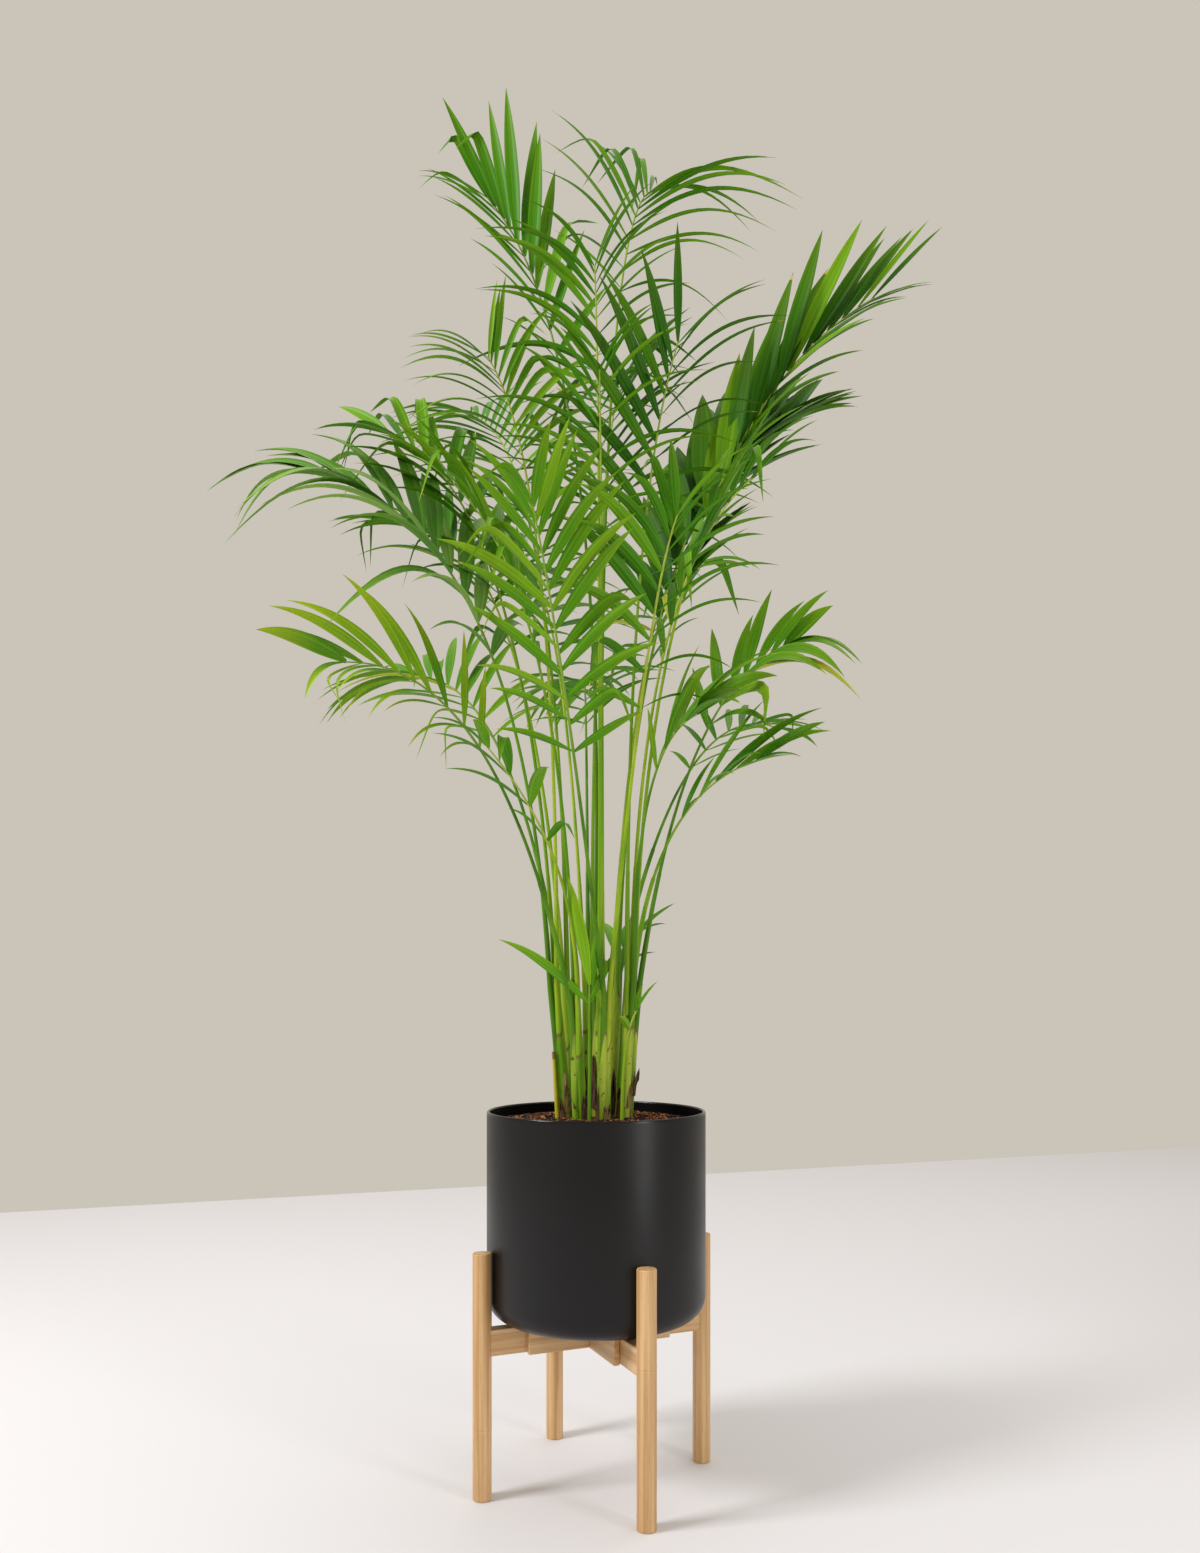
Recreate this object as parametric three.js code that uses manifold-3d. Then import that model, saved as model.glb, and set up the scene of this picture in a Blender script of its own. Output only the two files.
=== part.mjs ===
// A clumping cat palm in a round black pot, carried by a four-legged bamboo stand.
// Millimetres, +Z up. Bearings are in degrees about the pot's axis, from +X towards +Y.
import * as THREE from "three";
import { mergeVertices } from "three/addons/utils/BufferGeometryUtils.js";
import Module from "manifold-3d";

const wasm = await Module();
wasm.setup();

const CLEARANCE = 0.3; // between pieces that rest against each other

// Stand: four round legs, an arm in each, and two crossed beams that hold the arms in their forked ends
const LEG_DIAMETER = 22;
const LEG_HEIGHT = 282;
const LEG_CHAMFER = 1.5;
const LEG_CIRCLE = 141.5; // from the pot's axis to the axis of a leg
const FIRST_LEG_BEARING = 22.8;
const LEG_COUNT = 4;
const LEG_SIDES = 20;
const BEAM_TOP = 196;
const BEAM_HEIGHT = 33;
const BEAM_WIDTH = 32;
const BEAM_REACH = 90; // from the pot's axis to the end of a fork
const FORK_DEPTH = 56;
const ARM_WIDTH = 17;
const ARM_STEP = 1.5; // an arm's top and bottom lie this far inside the beam's

// Pot: thin wall, round lip and rounded foot
const POT_DIAMETER = 260;
const POT_HEIGHT = 244;
const POT_WALL = 3.6;
const POT_FLOOR = 4;
const FOOT_RADIUS = 28;
const POT_SEGMENTS = 36;

// Soil: a filled pot with a low mound
const SOIL_BELOW_RIM = 14;
const SOIL_MOUND = 6;
const SOIL_FLAT_RADIUS = 62;

// Canes: the thick sheathed bases of the clump, cut flat at the soil and flat on top
const CANE_FOOT_RADIUS = 9.3;
const CANE_WAIST_RADIUS = 8.4;
const CANE_TOP_RADIUS = 9.2;
const CANE_SIDES = 12;
// foot is [bearing, distance from the pot's axis], lean is how far the top stands outwards of the foot
const CANES = [
  { name: "cane_centre", foot: [0, 3], height: 186, lean: 0 },
  { name: "cane_right", foot: [13, 36], height: 160, lean: 13 },
  { name: "cane_back_right", foot: [56, 35], height: 172, lean: 10 },
  { name: "cane_back", foot: [102, 36], height: 150, lean: 12 },
  { name: "cane_back_left", foot: [148, 35], height: 168, lean: 12 },
  { name: "cane_left", foot: [192, 37], height: 155, lean: 14 },
  { name: "cane_front_left", foot: [238, 35], height: 138, lean: 13 },
  { name: "cane_front", foot: [284, 34], height: 146, lean: 9 },
  { name: "cane_front_right", foot: [328, 36], height: 164, lean: 12 },
];

// Fronds: a bare stalk that carries on as the rib between the leaflets
const STALK_RADIUS = 3.9;
const SHOOT_RADIUS = 2.8; // where a frond rises straight from the soil
const RIB_TIP_RADIUS = 1.2;
const RIB_TAPER = 0.8;
const RIB_CORNERS = [90, 210, 330]; // ridge of the upper side, then right and left
const STALK_STEPS = 5;
const FEET_CIRCLE = 4.75; // radius of the circle on a cane's top that its stalks stand on
const PAIR_CROWDING = 0.92; // below 1 the pairs stand closer together towards the tip
const ROOT_LENGTH = 5; // of the rib that a leaflet grows from
const LEAFLET_WIDTH = 0.098; // times its length
const TIP_PAIR_BREADTH = 1.35; // times the width of the others
const LEAFLET_THICKNESS = 0.0125; // times its length
const WIDEST_AT = 0.4; // share of a leaflet's length
const ROOT_BREADTH = 0.3; // of the full width
const POINT_POWER = 1.7; // how roundly a leaflet narrows to its point
const LEAFLET_STEPS = [0.4, 0.76]; // shares of the length at which a leaflet bends
const SPACE_STEPS = [0.08, 0.4, 0.76]; // the same where a leaflet's space is tested, clear of its root
const LOWEST_ANGLE = 62; // between the rib and the lowest leaflets
const HIGHEST_ANGLE = 26; // between the rib and the pair at the tip
const LEAST_ANGLE = 22;
const ANGLE_WOBBLE = 6;
const LEAFLET_LIFT = 10; // out of the blade's plane, so that the two sides make a shallow V
const LIFT_WOBBLE = 9;
const LEAFLET_TILT = 22; // about a leaflet's own length, as the slats of a blind
const DROOP_WOBBLE = 0.5;
const SHORTEST_SHARE = 0.66; // of the longest leaflet's length
const FULLNESS_POWER = 0.8; // below 1 the longest leaflets grow below the blade's middle
const LENGTH_WOBBLE = 0.08;
// A leaflet that touches another is turned by each of these before it is left out.
const TURNS = [0, 7, -7, 14, -14];

// Young shoots rise straight from the soil, at [bearing, distance from the pot's axis].
const SHOOT_FEET = { shoot_front_left: [261, 50], shoot_front_right: [306, 51], shoot_back: [80, 51] };

// from is the cane or shoot that a frond grows on. reach is outwards and height above the floor, both
// to the rib's tip. lean and rise give the place where the tangents of the rib's two ends meet, as
// shares of the way from foot to tip outwards and upwards. roll turns the blade about its rib. bare
// is the stalk's share of the rib, pairs how many pairs of leaflets the rest carries, leaf the
// longest leaflet, and droop how far leaflets sink at their tips, as a share of their length.
const FROND_COLUMNS = [
  "from", "bearing", "reach", "height", "lean", "rise", "roll", "bare", "pairs", "leaf", "droop",
];
const FRONDS = [
  ["cane_centre", 168, 135, 1550, -0.15, 0.8, -65, 0.64, 11, 170, 0.12],
  ["cane_centre", 265, 70, 1400, 0, 0.9, 15, 0.62, 9, 145, 0.3],
  ["cane_centre", 40, 80, 1575, -0.1, 0.93, 40, 0.66, 10, 165, 0.65],
  ["cane_right", 350, 172, 985, 0.3, 0.9, 35, 0.58, 8, 140, 0.3],
  ["cane_right", 2, 292, 1425, 0.05, 0.8, 48, 0.53, 11, 168, 0.12],
  ["cane_right", 326, 165, 840, 0.15, 0.9, 20, 0.58, 6, 115, 0.25],
  ["cane_back_right", 40, 290, 950, 0.35, 1.05, 15, 0.5, 9, 140, 0.35],
  ["cane_back_right", 62, 270, 1190, 0.25, 0.95, -20, 0.45, 11, 155, 0.3],
  ["cane_back_right", 16, 215, 1300, 0.1, 0.85, 40, 0.46, 11, 165, 0.25],
  ["cane_back", 92, 280, 1030, 0.35, 1.1, -15, 0.5, 9, 135, 0.35],
  ["cane_back", 112, 290, 1210, 0.25, 0.95, 20, 0.45, 11, 155, 0.3],
  ["cane_back", 76, 190, 1440, 0.05, 0.85, -15, 0.5, 11, 160, 0.25],
  ["cane_back_left", 142, 300, 1010, 0.3, 1.05, -30, 0.48, 10, 145, 0.35],
  ["cane_back_left", 157, 215, 1180, 0.2, 0.95, -25, 0.48, 10, 145, 0.3],
  ["cane_back_left", 126, 220, 1370, 0.1, 0.85, -25, 0.48, 11, 155, 0.25],
  ["cane_left", 193, 268, 1165, 0.12, 0.95, -40, 0.45, 11, 160, 0.75],
  ["cane_left", 200, 84, 1315, 0, 0.85, -40, 0.58, 9, 140, 0.25],
  ["cane_left", 168, 210, 1265, 0.15, 0.88, -40, 0.5, 10, 140, 0.35],
  ["cane_front_left", 208, 265, 925, 0.35, 1.08, -30, 0.5, 10, 150, 0.7],
  ["cane_front_left", 236, 165, 835, 0, 0.65, -10, 0.6, 5, 105, 0.5],
  ["cane_front_left", 196, 150, 1160, 0.1, 0.85, -20, 0.52, 9, 140, 0.3],
  ["cane_front", 252, 225, 1050, 0.6, 0.75, 0, 0.42, 11, 125, 0.2],
  ["cane_front", 290, 195, 1055, 0.6, 0.9, 5, 0.45, 10, 130, 0.25],
  ["cane_front", 268, 95, 1250, 0.05, 0.85, 0, 0.55, 9, 140, 0.3],
  ["cane_front_right", 318, 95, 890, 0, 0.95, 0, 0.6, 6, 110, 0.3],
  ["cane_front_right", 330, 152, 1150, 0.05, 0.85, 30, 0.5, 9, 145, 0.3],
  ["cane_front_right", 296, 120, 1280, 0, 0.8, 0, 0.52, 10, 155, 0.2],
  ["shoot_front_left", 270, 10, 590, 0, 0.8, 0, 0.75, 2, 165, 0.2],
  ["shoot_front_right", 330, 20, 560, 0, 0.8, 20, 0.7, 2, 60, 0.2],
  ["shoot_back", 62, 55, 640, 0, 0.8, 0, 0.7, 3, 95, 0.2],
].map((row, i) => {
  const frond = { name: `frond_${String(i + 1).padStart(2, "0")}` };
  for (const [k, column] of FROND_COLUMNS.entries()) frond[column] = row[k];
  return frond;
});

const UP = new THREE.Vector3(0, 0, 1);
const potBottom = BEAM_TOP + CLEARANCE;
const soilTop = potBottom + POT_HEIGHT - SOIL_BELOW_RIM + SOIL_MOUND;

const radians = THREE.MathUtils.degToRad;

// The horizontal unit vector at a bearing.
function outwards(bearing) {
  return new THREE.Vector3(Math.cos(radians(bearing)), Math.sin(radians(bearing)), 0);
}

// A number from -1 to 1 that is the same for the same three seeds.
function jitter(a, b, c) {
  const wave = Math.sin(a * 12.9898 + b * 78.233 + c * 37.719) * 43758.5453;
  return 2 * (wave - Math.floor(wave)) - 1;
}

// A closed geometry as a solid that can be joined and cut.
function solidOf(geometry) {
  const bare = geometry.clone();
  bare.deleteAttribute("normal");
  bare.deleteAttribute("uv");
  const merged = mergeVertices(bare, 1e-4);
  return new wasm.Manifold(
    new wasm.Mesh({
      numProp: 3,
      vertProperties: merged.attributes.position.array,
      triVerts: new Uint32Array(merged.index.array),
    }),
  );
}

// A joined or cut solid as a geometry again.
function geometryOf(solid) {
  const mesh = solid.getMesh();
  const geometry = new THREE.BufferGeometry();
  geometry.setAttribute("position", new THREE.BufferAttribute(mesh.vertProperties, 3));
  geometry.setIndex(new THREE.BufferAttribute(mesh.triVerts, 1));
  return geometry.toNonIndexed();
}

// The triangles between two rings of corner numbers, or between a ring and a point. The corners run
// anticlockwise about the way from the first ring to the next. Each pair of triangles bulges outwards,
// so that the skin of a twisted blade doesn't cross itself.
function skinBetween(points, ring, next) {
  return ring.flatMap((corner, j) => {
    const k = (j + 1) % ring.length;
    if (next.length === 1) return [corner, ring[k], next[0]];
    const [edge, diagonal, other] = [ring[k], next[k], next[j]].map((number) =>
      points[number].clone().sub(points[corner]),
    );
    const outside = edge.cross(diagonal).dot(other);
    if (outside <= 0) return [corner, ring[k], next[k], corner, next[k], next[j]];
    return [corner, ring[k], next[j], ring[k], next[k], next[j]];
  });
}

// A closed skin over such rings. Its ends are flat, or a point where the last ring has one corner.
function loft(rings) {
  const points = [];
  const numbers = rings.map((corners) => corners.map((corner) => points.push(corner) - 1));
  const index = [];
  for (let i = 0; i + 1 < numbers.length; i++) {
    index.push(...skinBetween(points, numbers[i], numbers[i + 1]));
  }
  const [first, last] = [numbers[0], numbers.at(-1)];
  for (let j = 1; j + 1 < first.length; j++) {
    index.push(first[0], first[j + 1], first[j]);
    if (last.length > 1) index.push(last[0], last[j], last[j + 1]);
  }
  return new THREE.BufferGeometry().setFromPoints(points).setIndex(index);
}

// A ring of corners round a centre, in the plane of the unit vectors across and along.
function ring(centre, across, along, radius, sides) {
  const corners = [];
  for (let i = 0; i < sides; i++) {
    const turn = ((i + 0.5) * 2 * Math.PI) / sides;
    corners.push(
      centre
        .clone()
        .addScaledVector(across, radius * Math.cos(turn))
        .addScaledVector(along, radius * Math.sin(turn)),
    );
  }
  return corners;
}

// The points of a profile's round corner about a centre, from one angle to another.
function arc(x, y, radius, from, to, steps) {
  const points = [];
  for (let i = 0; i <= steps; i++) {
    const angle = radians(from + ((to - from) * i) / steps);
    points.push(new THREE.Vector2(x + radius * Math.cos(angle), y + radius * Math.sin(angle)));
  }
  return points;
}

const bamboo = new THREE.MeshStandardMaterial({ color: 0xd6b083, roughness: 0.5, metalness: 0 });
const plastic = new THREE.MeshStandardMaterial({ color: 0x2a2829, roughness: 0.62, metalness: 0 });
const soilMatter = new THREE.MeshStandardMaterial({ color: 0x5a3824, roughness: 0.95, metalness: 0 });
const sheath = new THREE.MeshStandardMaterial({ color: 0x86a63c, roughness: 0.5, metalness: 0 });
const leafGreen = new THREE.MeshStandardMaterial({ color: 0x3b7a1c, roughness: 0.45, metalness: 0 });

function named(name, geometry, material) {
  const mesh = new THREE.Mesh(geometry, material);
  mesh.name = name;
  return mesh;
}

// A box with its middle at the given place.
function box(length, width, height, x, y, z) {
  return new THREE.BoxGeometry(length, width, height).translate(x, y, z);
}

// A leg is a round pole with both ends chamfered.
function legGeometry() {
  const radius = LEG_DIAMETER / 2;
  const profile = [
    new THREE.Vector2(0, 0),
    new THREE.Vector2(radius - LEG_CHAMFER, 0),
    new THREE.Vector2(radius, LEG_CHAMFER),
    new THREE.Vector2(radius, LEG_HEIGHT - LEG_CHAMFER),
    new THREE.Vector2(radius - LEG_CHAMFER, LEG_HEIGHT),
    new THREE.Vector2(0, LEG_HEIGHT),
  ];
  return new THREE.LatheGeometry(profile, LEG_SIDES).rotateX(Math.PI / 2);
}

// An arm slides in a beam's fork, and its outer end is hollowed to sit against its leg.
function armGeometry() {
  const inner = BEAM_REACH - FORK_DEPTH + CLEARANCE;
  const outer = LEG_CIRCLE;
  const height = BEAM_HEIGHT - 2 * ARM_STEP;
  const middle = BEAM_TOP - BEAM_HEIGHT / 2;
  const bar = solidOf(box(outer - inner, ARM_WIDTH, height, (inner + outer) / 2, 0, middle));
  const spaceRadius = LEG_DIAMETER / 2 + CLEARANCE;
  const legSpace = new THREE.CylinderGeometry(spaceRadius, spaceRadius, LEG_HEIGHT, LEG_SIDES)
    .rotateX(Math.PI / 2)
    .translate(LEG_CIRCLE, 0, LEG_HEIGHT / 2);
  return geometryOf(bar.subtract(solidOf(legSpace)));
}

// A beam is forked at both ends and halved in the middle, from above or from below, to cross the other.
function beamGeometry(halvedFromAbove) {
  const middle = BEAM_TOP - BEAM_HEIGHT / 2;
  const forkMiddle = BEAM_REACH - FORK_DEPTH / 2;
  const forkWidth = ARM_WIDTH + 2 * CLEARANCE;
  let beam = solidOf(box(2 * BEAM_REACH, BEAM_WIDTH, BEAM_HEIGHT, 0, 0, middle));
  for (const side of [-1, 1]) {
    const fork = box(FORK_DEPTH, forkWidth, 2 * BEAM_HEIGHT, side * forkMiddle, 0, middle);
    beam = beam.subtract(solidOf(fork));
  }
  const halving = BEAM_WIDTH + 2 * CLEARANCE;
  const shift = (halvedFromAbove ? 1 : -1) * (BEAM_HEIGHT / 2 - CLEARANCE / 2);
  return geometryOf(beam.subtract(solidOf(box(halving, halving, BEAM_HEIGHT, 0, 0, middle + shift))));
}

function makeStand() {
  const stand = new THREE.Group();
  for (let i = 0; i < LEG_COUNT; i++) {
    const quarter = new THREE.Group();
    quarter.rotation.z = radians(FIRST_LEG_BEARING + (i * 360) / LEG_COUNT);
    const leg = named(`leg_${i + 1}`, legGeometry(), bamboo);
    leg.position.x = LEG_CIRCLE;
    quarter.add(leg, named(`arm_${i + 1}`, armGeometry(), bamboo));
    stand.add(quarter);
  }
  const lower = named("beam_lower", beamGeometry(true), bamboo);
  lower.rotation.z = radians(FIRST_LEG_BEARING);
  const upper = named("beam_upper", beamGeometry(false), bamboo);
  upper.rotation.z = radians(FIRST_LEG_BEARING + 90);
  stand.add(lower, upper);
  return stand;
}

// The pot's profile runs up the outside, over the lip and down the inside.
function potGeometry() {
  const radius = POT_DIAMETER / 2;
  const inner = radius - POT_WALL;
  const lip = POT_WALL / 2;
  const profile = [
    new THREE.Vector2(0, 0),
    ...arc(radius - FOOT_RADIUS, FOOT_RADIUS, FOOT_RADIUS, -90, 0, 4),
    ...arc(radius - lip, POT_HEIGHT - lip, lip, 0, 180, 3),
    ...arc(inner - FOOT_RADIUS, POT_FLOOR + FOOT_RADIUS, FOOT_RADIUS, 0, -90, 3),
    new THREE.Vector2(0, POT_FLOOR),
  ];
  return new THREE.LatheGeometry(profile, POT_SEGMENTS).rotateX(Math.PI / 2).translate(0, 0, potBottom);
}

// Soil fills the pot to below its rim, flat where the canes stand and lower at the wall.
function soilGeometry() {
  const radius = POT_DIAMETER / 2 - POT_WALL - 2 * CLEARANCE;
  const bottom = POT_FLOOR + CLEARANCE;
  const edge = POT_HEIGHT - SOIL_BELOW_RIM;
  const profile = [
    new THREE.Vector2(0, bottom),
    ...arc(radius - FOOT_RADIUS - 1, bottom + FOOT_RADIUS + 1, FOOT_RADIUS + 1, -90, 0, 3),
    new THREE.Vector2(radius, edge),
    new THREE.Vector2(SOIL_FLAT_RADIUS, edge + SOIL_MOUND),
    new THREE.Vector2(0, edge + SOIL_MOUND),
  ];
  return new THREE.LatheGeometry(profile, POT_SEGMENTS).rotateX(Math.PI / 2).translate(0, 0, potBottom);
}

// A place on the soil at a bearing and distance from the pot's axis.
function onSoil([bearing, distance]) {
  return outwards(bearing).multiplyScalar(distance).setZ(soilTop + CLEARANCE);
}

// Where a cane's axis is at its foot and at its top.
function caneAxis(cane) {
  const foot = onSoil(cane.foot);
  const [bearing] = cane.foot;
  const top = foot.clone().addScaledVector(outwards(bearing), cane.lean).setZ(foot.z + cane.height);
  return { foot, top };
}

function caneGeometry(cane) {
  const { foot, top } = caneAxis(cane);
  const across = new THREE.Vector3(1, 0, 0);
  const along = new THREE.Vector3(0, 1, 0);
  const radii = [CANE_FOOT_RADIUS, CANE_WAIST_RADIUS, CANE_TOP_RADIUS];
  const rings = radii.map((radius, i) =>
    ring(foot.clone().lerp(top, i / (radii.length - 1)), across, along, radius, CANE_SIDES),
  );
  return loft(rings);
}

// A frond stands on its cane's top, beside the others there, or on the soil.
function frondFoot(frond) {
  if (SHOOT_FEET[frond.from]) return onSoil(SHOOT_FEET[frond.from]);
  const cane = CANES.find(({ name }) => name === frond.from);
  const siblings = FRONDS.filter((other) => other.from === frond.from);
  const footBearing = siblings[0].bearing + (siblings.indexOf(frond) * 360) / siblings.length;
  const foot = caneAxis(cane).top.addScaledVector(outwards(footBearing), FEET_CIRCLE);
  return foot.setZ(foot.z + CLEARANCE);
}

// A frond's rib lies in the upright plane of its bearing, on a curve with one bend.
function ribCurve(frond) {
  const out = outwards(frond.bearing);
  const foot = frondFoot(frond);
  const climb = frond.height - foot.z;
  const bend = foot.clone().addScaledVector(out, frond.lean * frond.reach);
  bend.z += frond.rise * climb;
  const tip = foot.clone().addScaledVector(out, frond.reach);
  tip.z += climb;
  return new THREE.QuadraticBezierCurve3(foot, bend, tip);
}

// The rib's radius at a share of its way from foot to tip.
function ribRadius(frond, share) {
  const thick = SHOOT_FEET[frond.from] ? SHOOT_RADIUS : STALK_RADIUS;
  return thick + (RIB_TIP_RADIUS - thick) * Math.pow(share, RIB_TAPER);
}

// The directions at a share of the rib: its way, and across and out of the blade, which is turned
// about the rib by the frond's roll from where the leaflets start.
function bladeFrame(frond, curve, share) {
  const way = share === 0 ? UP.clone() : curve.getTangent(share);
  const flat = outwards(frond.bearing + 90);
  const upper = way.clone().cross(flat).normalize();
  const roll = radians(frond.roll * Math.min(share / frond.bare, 1));
  const across = flat.clone().multiplyScalar(Math.cos(roll)).addScaledVector(upper, Math.sin(roll));
  const face = upper.multiplyScalar(Math.cos(roll)).addScaledVector(flat, -Math.sin(roll));
  return { way, across, face };
}

// The share of the rib at which a pair of leaflets grows. The roots of the last pair end at its tip.
function pairShare(frond, curve, order) {
  const last = 1 - ROOT_LENGTH / 2 / curve.getLength();
  return frond.bare + (last - frond.bare) * Math.pow(order / (frond.pairs - 1), PAIR_CROWDING);
}

// How one leaflet grows: from where, which way, how long and wide, and how far it sinks.
function leafletOf(frond, number, curve, order, side, turn) {
  const share = order / (frond.pairs - 1);
  const along = pairShare(frond, curve, order);
  const { way: rib, across, face } = bladeFrame(frond, curve, along);
  const wobble = ANGLE_WOBBLE * jitter(number, order, side);
  const opening = LOWEST_ANGLE + (HIGHEST_ANGLE - LOWEST_ANGLE) * share + wobble + turn;
  const spread = radians(Math.max(opening, LEAST_ANGLE));
  const lift = radians(LEAFLET_LIFT + LIFT_WOBBLE * jitter(order, side, number + 0.5) + turn);
  const way = rib
    .clone()
    .multiplyScalar(Math.cos(spread))
    .addScaledVector(across, side * Math.sin(spread))
    .multiplyScalar(Math.cos(lift))
    .addScaledVector(face, Math.sin(lift))
    .normalize();
  const swell = Math.sin(Math.PI * Math.pow(share, FULLNESS_POWER));
  const fullness = SHORTEST_SHARE + (1 - SHORTEST_SHARE) * swell;
  const length = frond.leaf * fullness * (1 + LENGTH_WOBBLE * jitter(side, number, order + 0.25));
  const tilted = face.clone().applyAxisAngle(way, radians(side * LEAFLET_TILT));
  return {
    root: curve.getPoint(along).addScaledVector(across, side * ribRadius(frond, along) / 2),
    way,
    face: tilted,
    length,
    width: LEAFLET_WIDTH * length * (order === frond.pairs - 1 ? TIP_PAIR_BREADTH : 1),
    droop: frond.droop * (1 + DROOP_WOBBLE * jitter(number, side, order + 0.75)),
  };
}

// A leaflet is a pointed blade with a flat face and a keel, bent down towards its tip.
// These are its rings of two edges and the keel at some shares of its length, then its point.
// Grown by some millimetres, they enclose the space that it needs.
function leafletRings(leaflet, shares, grown = 0) {
  const { root, way, face, length, droop, width } = leaflet;
  const side = face.clone().cross(way).normalize();
  const sink = UP.clone().negate().addScaledVector(way, way.z).multiplyScalar(droop * length);
  const keel = LEAFLET_THICKNESS * length + grown;
  const rings = shares.map((share) => {
    const centre = root.clone().addScaledVector(way, share * length).addScaledVector(sink, share * share);
    const heading = way.clone().multiplyScalar(length).addScaledVector(sink, 2 * share).normalize();
    const normal = heading.clone().cross(side).normalize();
    const halfWidth = (width / 2) * leafletBreadth(share) + grown;
    return [
      centre.clone().addScaledVector(side, halfWidth).addScaledVector(normal, grown),
      centre.clone().addScaledVector(side, -halfWidth).addScaledVector(normal, grown),
      centre.clone().addScaledVector(normal, -keel),
    ];
  });
  rings.push([root.clone().addScaledVector(way, length + grown).add(sink)]);
  return rings;
}

// A leaflet's breadth at a share of its length, as a share of its full width.
function leafletBreadth(share) {
  if (share < WIDEST_AT) return ROOT_BREADTH + ((1 - ROOT_BREADTH) * share) / WIDEST_AT;
  return 1 - Math.pow((share - WIDEST_AT) / (1 - WIDEST_AT), POINT_POWER);
}

function placeName(order, side) {
  return `pair ${order} side ${side}`;
}

// The corners of the rib's three-cornered section at a share of its way.
function ribRing(frond, curve, share) {
  const { across, face } = bladeFrame(frond, curve, share);
  const radius = ribRadius(frond, share);
  const centre = curve.getPoint(share);
  return RIB_CORNERS.map((turn) =>
    centre
      .clone()
      .addScaledVector(across, radius * Math.cos(radians(turn)))
      .addScaledVector(face, radius * Math.sin(radians(turn))),
  );
}

// The stalk's rings, then two rings for each pair of leaflets.
function ribShares(frond, curve) {
  const halfRoot = ROOT_LENGTH / 2 / curve.getLength();
  const shares = [];
  for (let i = 0; i < STALK_STEPS; i++) shares.push((frond.bare * i) / STALK_STEPS);
  for (let order = 0; order < frond.pairs; order++) {
    const middle = pairShare(frond, curve, order);
    shares.push(middle - halfRoot, middle + halfRoot);
  }
  return shares;
}

// A frond is one closed skin. Between the two rings of a pair, each side of the rib opens into a
// leaflet, where there is one.
function frondGeometry(frond, curve, leaflets) {
  const points = [];
  const index = [];
  const add = (corners) => corners.map((corner) => points.push(corner) - 1);
  const rings = ribShares(frond, curve).map((share) => add(ribRing(frond, curve, share)));
  index.push(rings[0][0], rings[0][2], rings[0][1], ...rings.at(-1));
  for (let i = 0; i + 1 < rings.length; i++) {
    const [ridge, right, left] = rings[i];
    const [nextRidge, nextRight, nextLeft] = rings[i + 1];
    index.push(right, left, nextLeft, right, nextLeft, nextRight);
    index.push(right, nextRight, nextRidge, left, nextRidge, nextLeft);
    const order = (i - STALK_STEPS) / 2;
    for (const side of [-1, 1]) {
      let last = side > 0 ? [ridge, nextRidge, left] : [nextRidge, ridge, right];
      const leaflet = leaflets.get(placeName(order, side));
      if (!leaflet) {
        index.push(...last);
        continue;
      }
      for (const corners of leafletRings(leaflet, LEAFLET_STEPS)) {
        const next = add(corners);
        index.push(...skinBetween(points, last, next));
        last = next;
      }
    }
  }
  return new THREE.BufferGeometry().setFromPoints(points).setIndex(index);
}

// True if a solid meets a placed one, other than its own rib.
function meets(solid, owner, placed) {
  const { min, max } = solid.boundingBox();
  return placed.some((other) => {
    if (other.owner === owner && other.isRib) return false;
    if (min.some((low, i) => low > other.box.max[i])) return false;
    if (max.some((high, i) => high < other.box.min[i])) return false;
    return !solid.intersect(other.solid).isEmpty();
  });
}

function makePalm() {
  const palm = new THREE.Group();
  const placed = [];
  const place = (owner, solid, isRib) => placed.push({ owner, solid, isRib, box: solid.boundingBox() });
  for (const cane of CANES) {
    const geometry = caneGeometry(cane);
    palm.add(named(cane.name, geometry, sheath));
    place(cane.name, solidOf(geometry), true);
  }
  const curves = FRONDS.map(ribCurve);
  for (const [i, frond] of FRONDS.entries()) {
    const rings = ribShares(frond, curves[i]).map((share) => ribRing(frond, curves[i], share));
    place(frond.name, solidOf(loft(rings)), true);
  }
  const leaflets = FRONDS.map(() => new Map());
  const mostPairs = Math.max(...FRONDS.map((frond) => frond.pairs));
  for (let order = mostPairs - 1; order >= 0; order--) {
    for (const [i, frond] of FRONDS.entries()) {
      if (order >= frond.pairs) continue;
      for (const side of [-1, 1]) {
        for (const turn of TURNS) {
          const leaflet = leafletOf(frond, i + 1, curves[i], order, side, turn);
          const space = solidOf(loft(leafletRings(leaflet, SPACE_STEPS, CLEARANCE)));
          if (meets(space, frond.name, placed)) continue;
          place(frond.name, solidOf(loft(leafletRings(leaflet, [0, ...LEAFLET_STEPS]))), false);
          leaflets[i].set(placeName(order, side), leaflet);
          break;
        }
      }
    }
  }
  for (const [i, frond] of FRONDS.entries()) {
    palm.add(named(frond.name, frondGeometry(frond, curves[i], leaflets[i]), leafGreen));
  }
  return palm;
}

const object = new THREE.Group();
object.add(
  makeStand(),
  named("pot", potGeometry(), plastic),
  named("soil", soilGeometry(), soilMatter),
  makePalm(),
);

// The origin is on the floor, under the middle of the whole object's box.
const extent = new THREE.Box3().setFromObject(object, true);
object.position.x = -(extent.min.x + extent.max.x) / 2;
object.position.y = -(extent.min.y + extent.max.y) / 2;

export default object;
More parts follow.
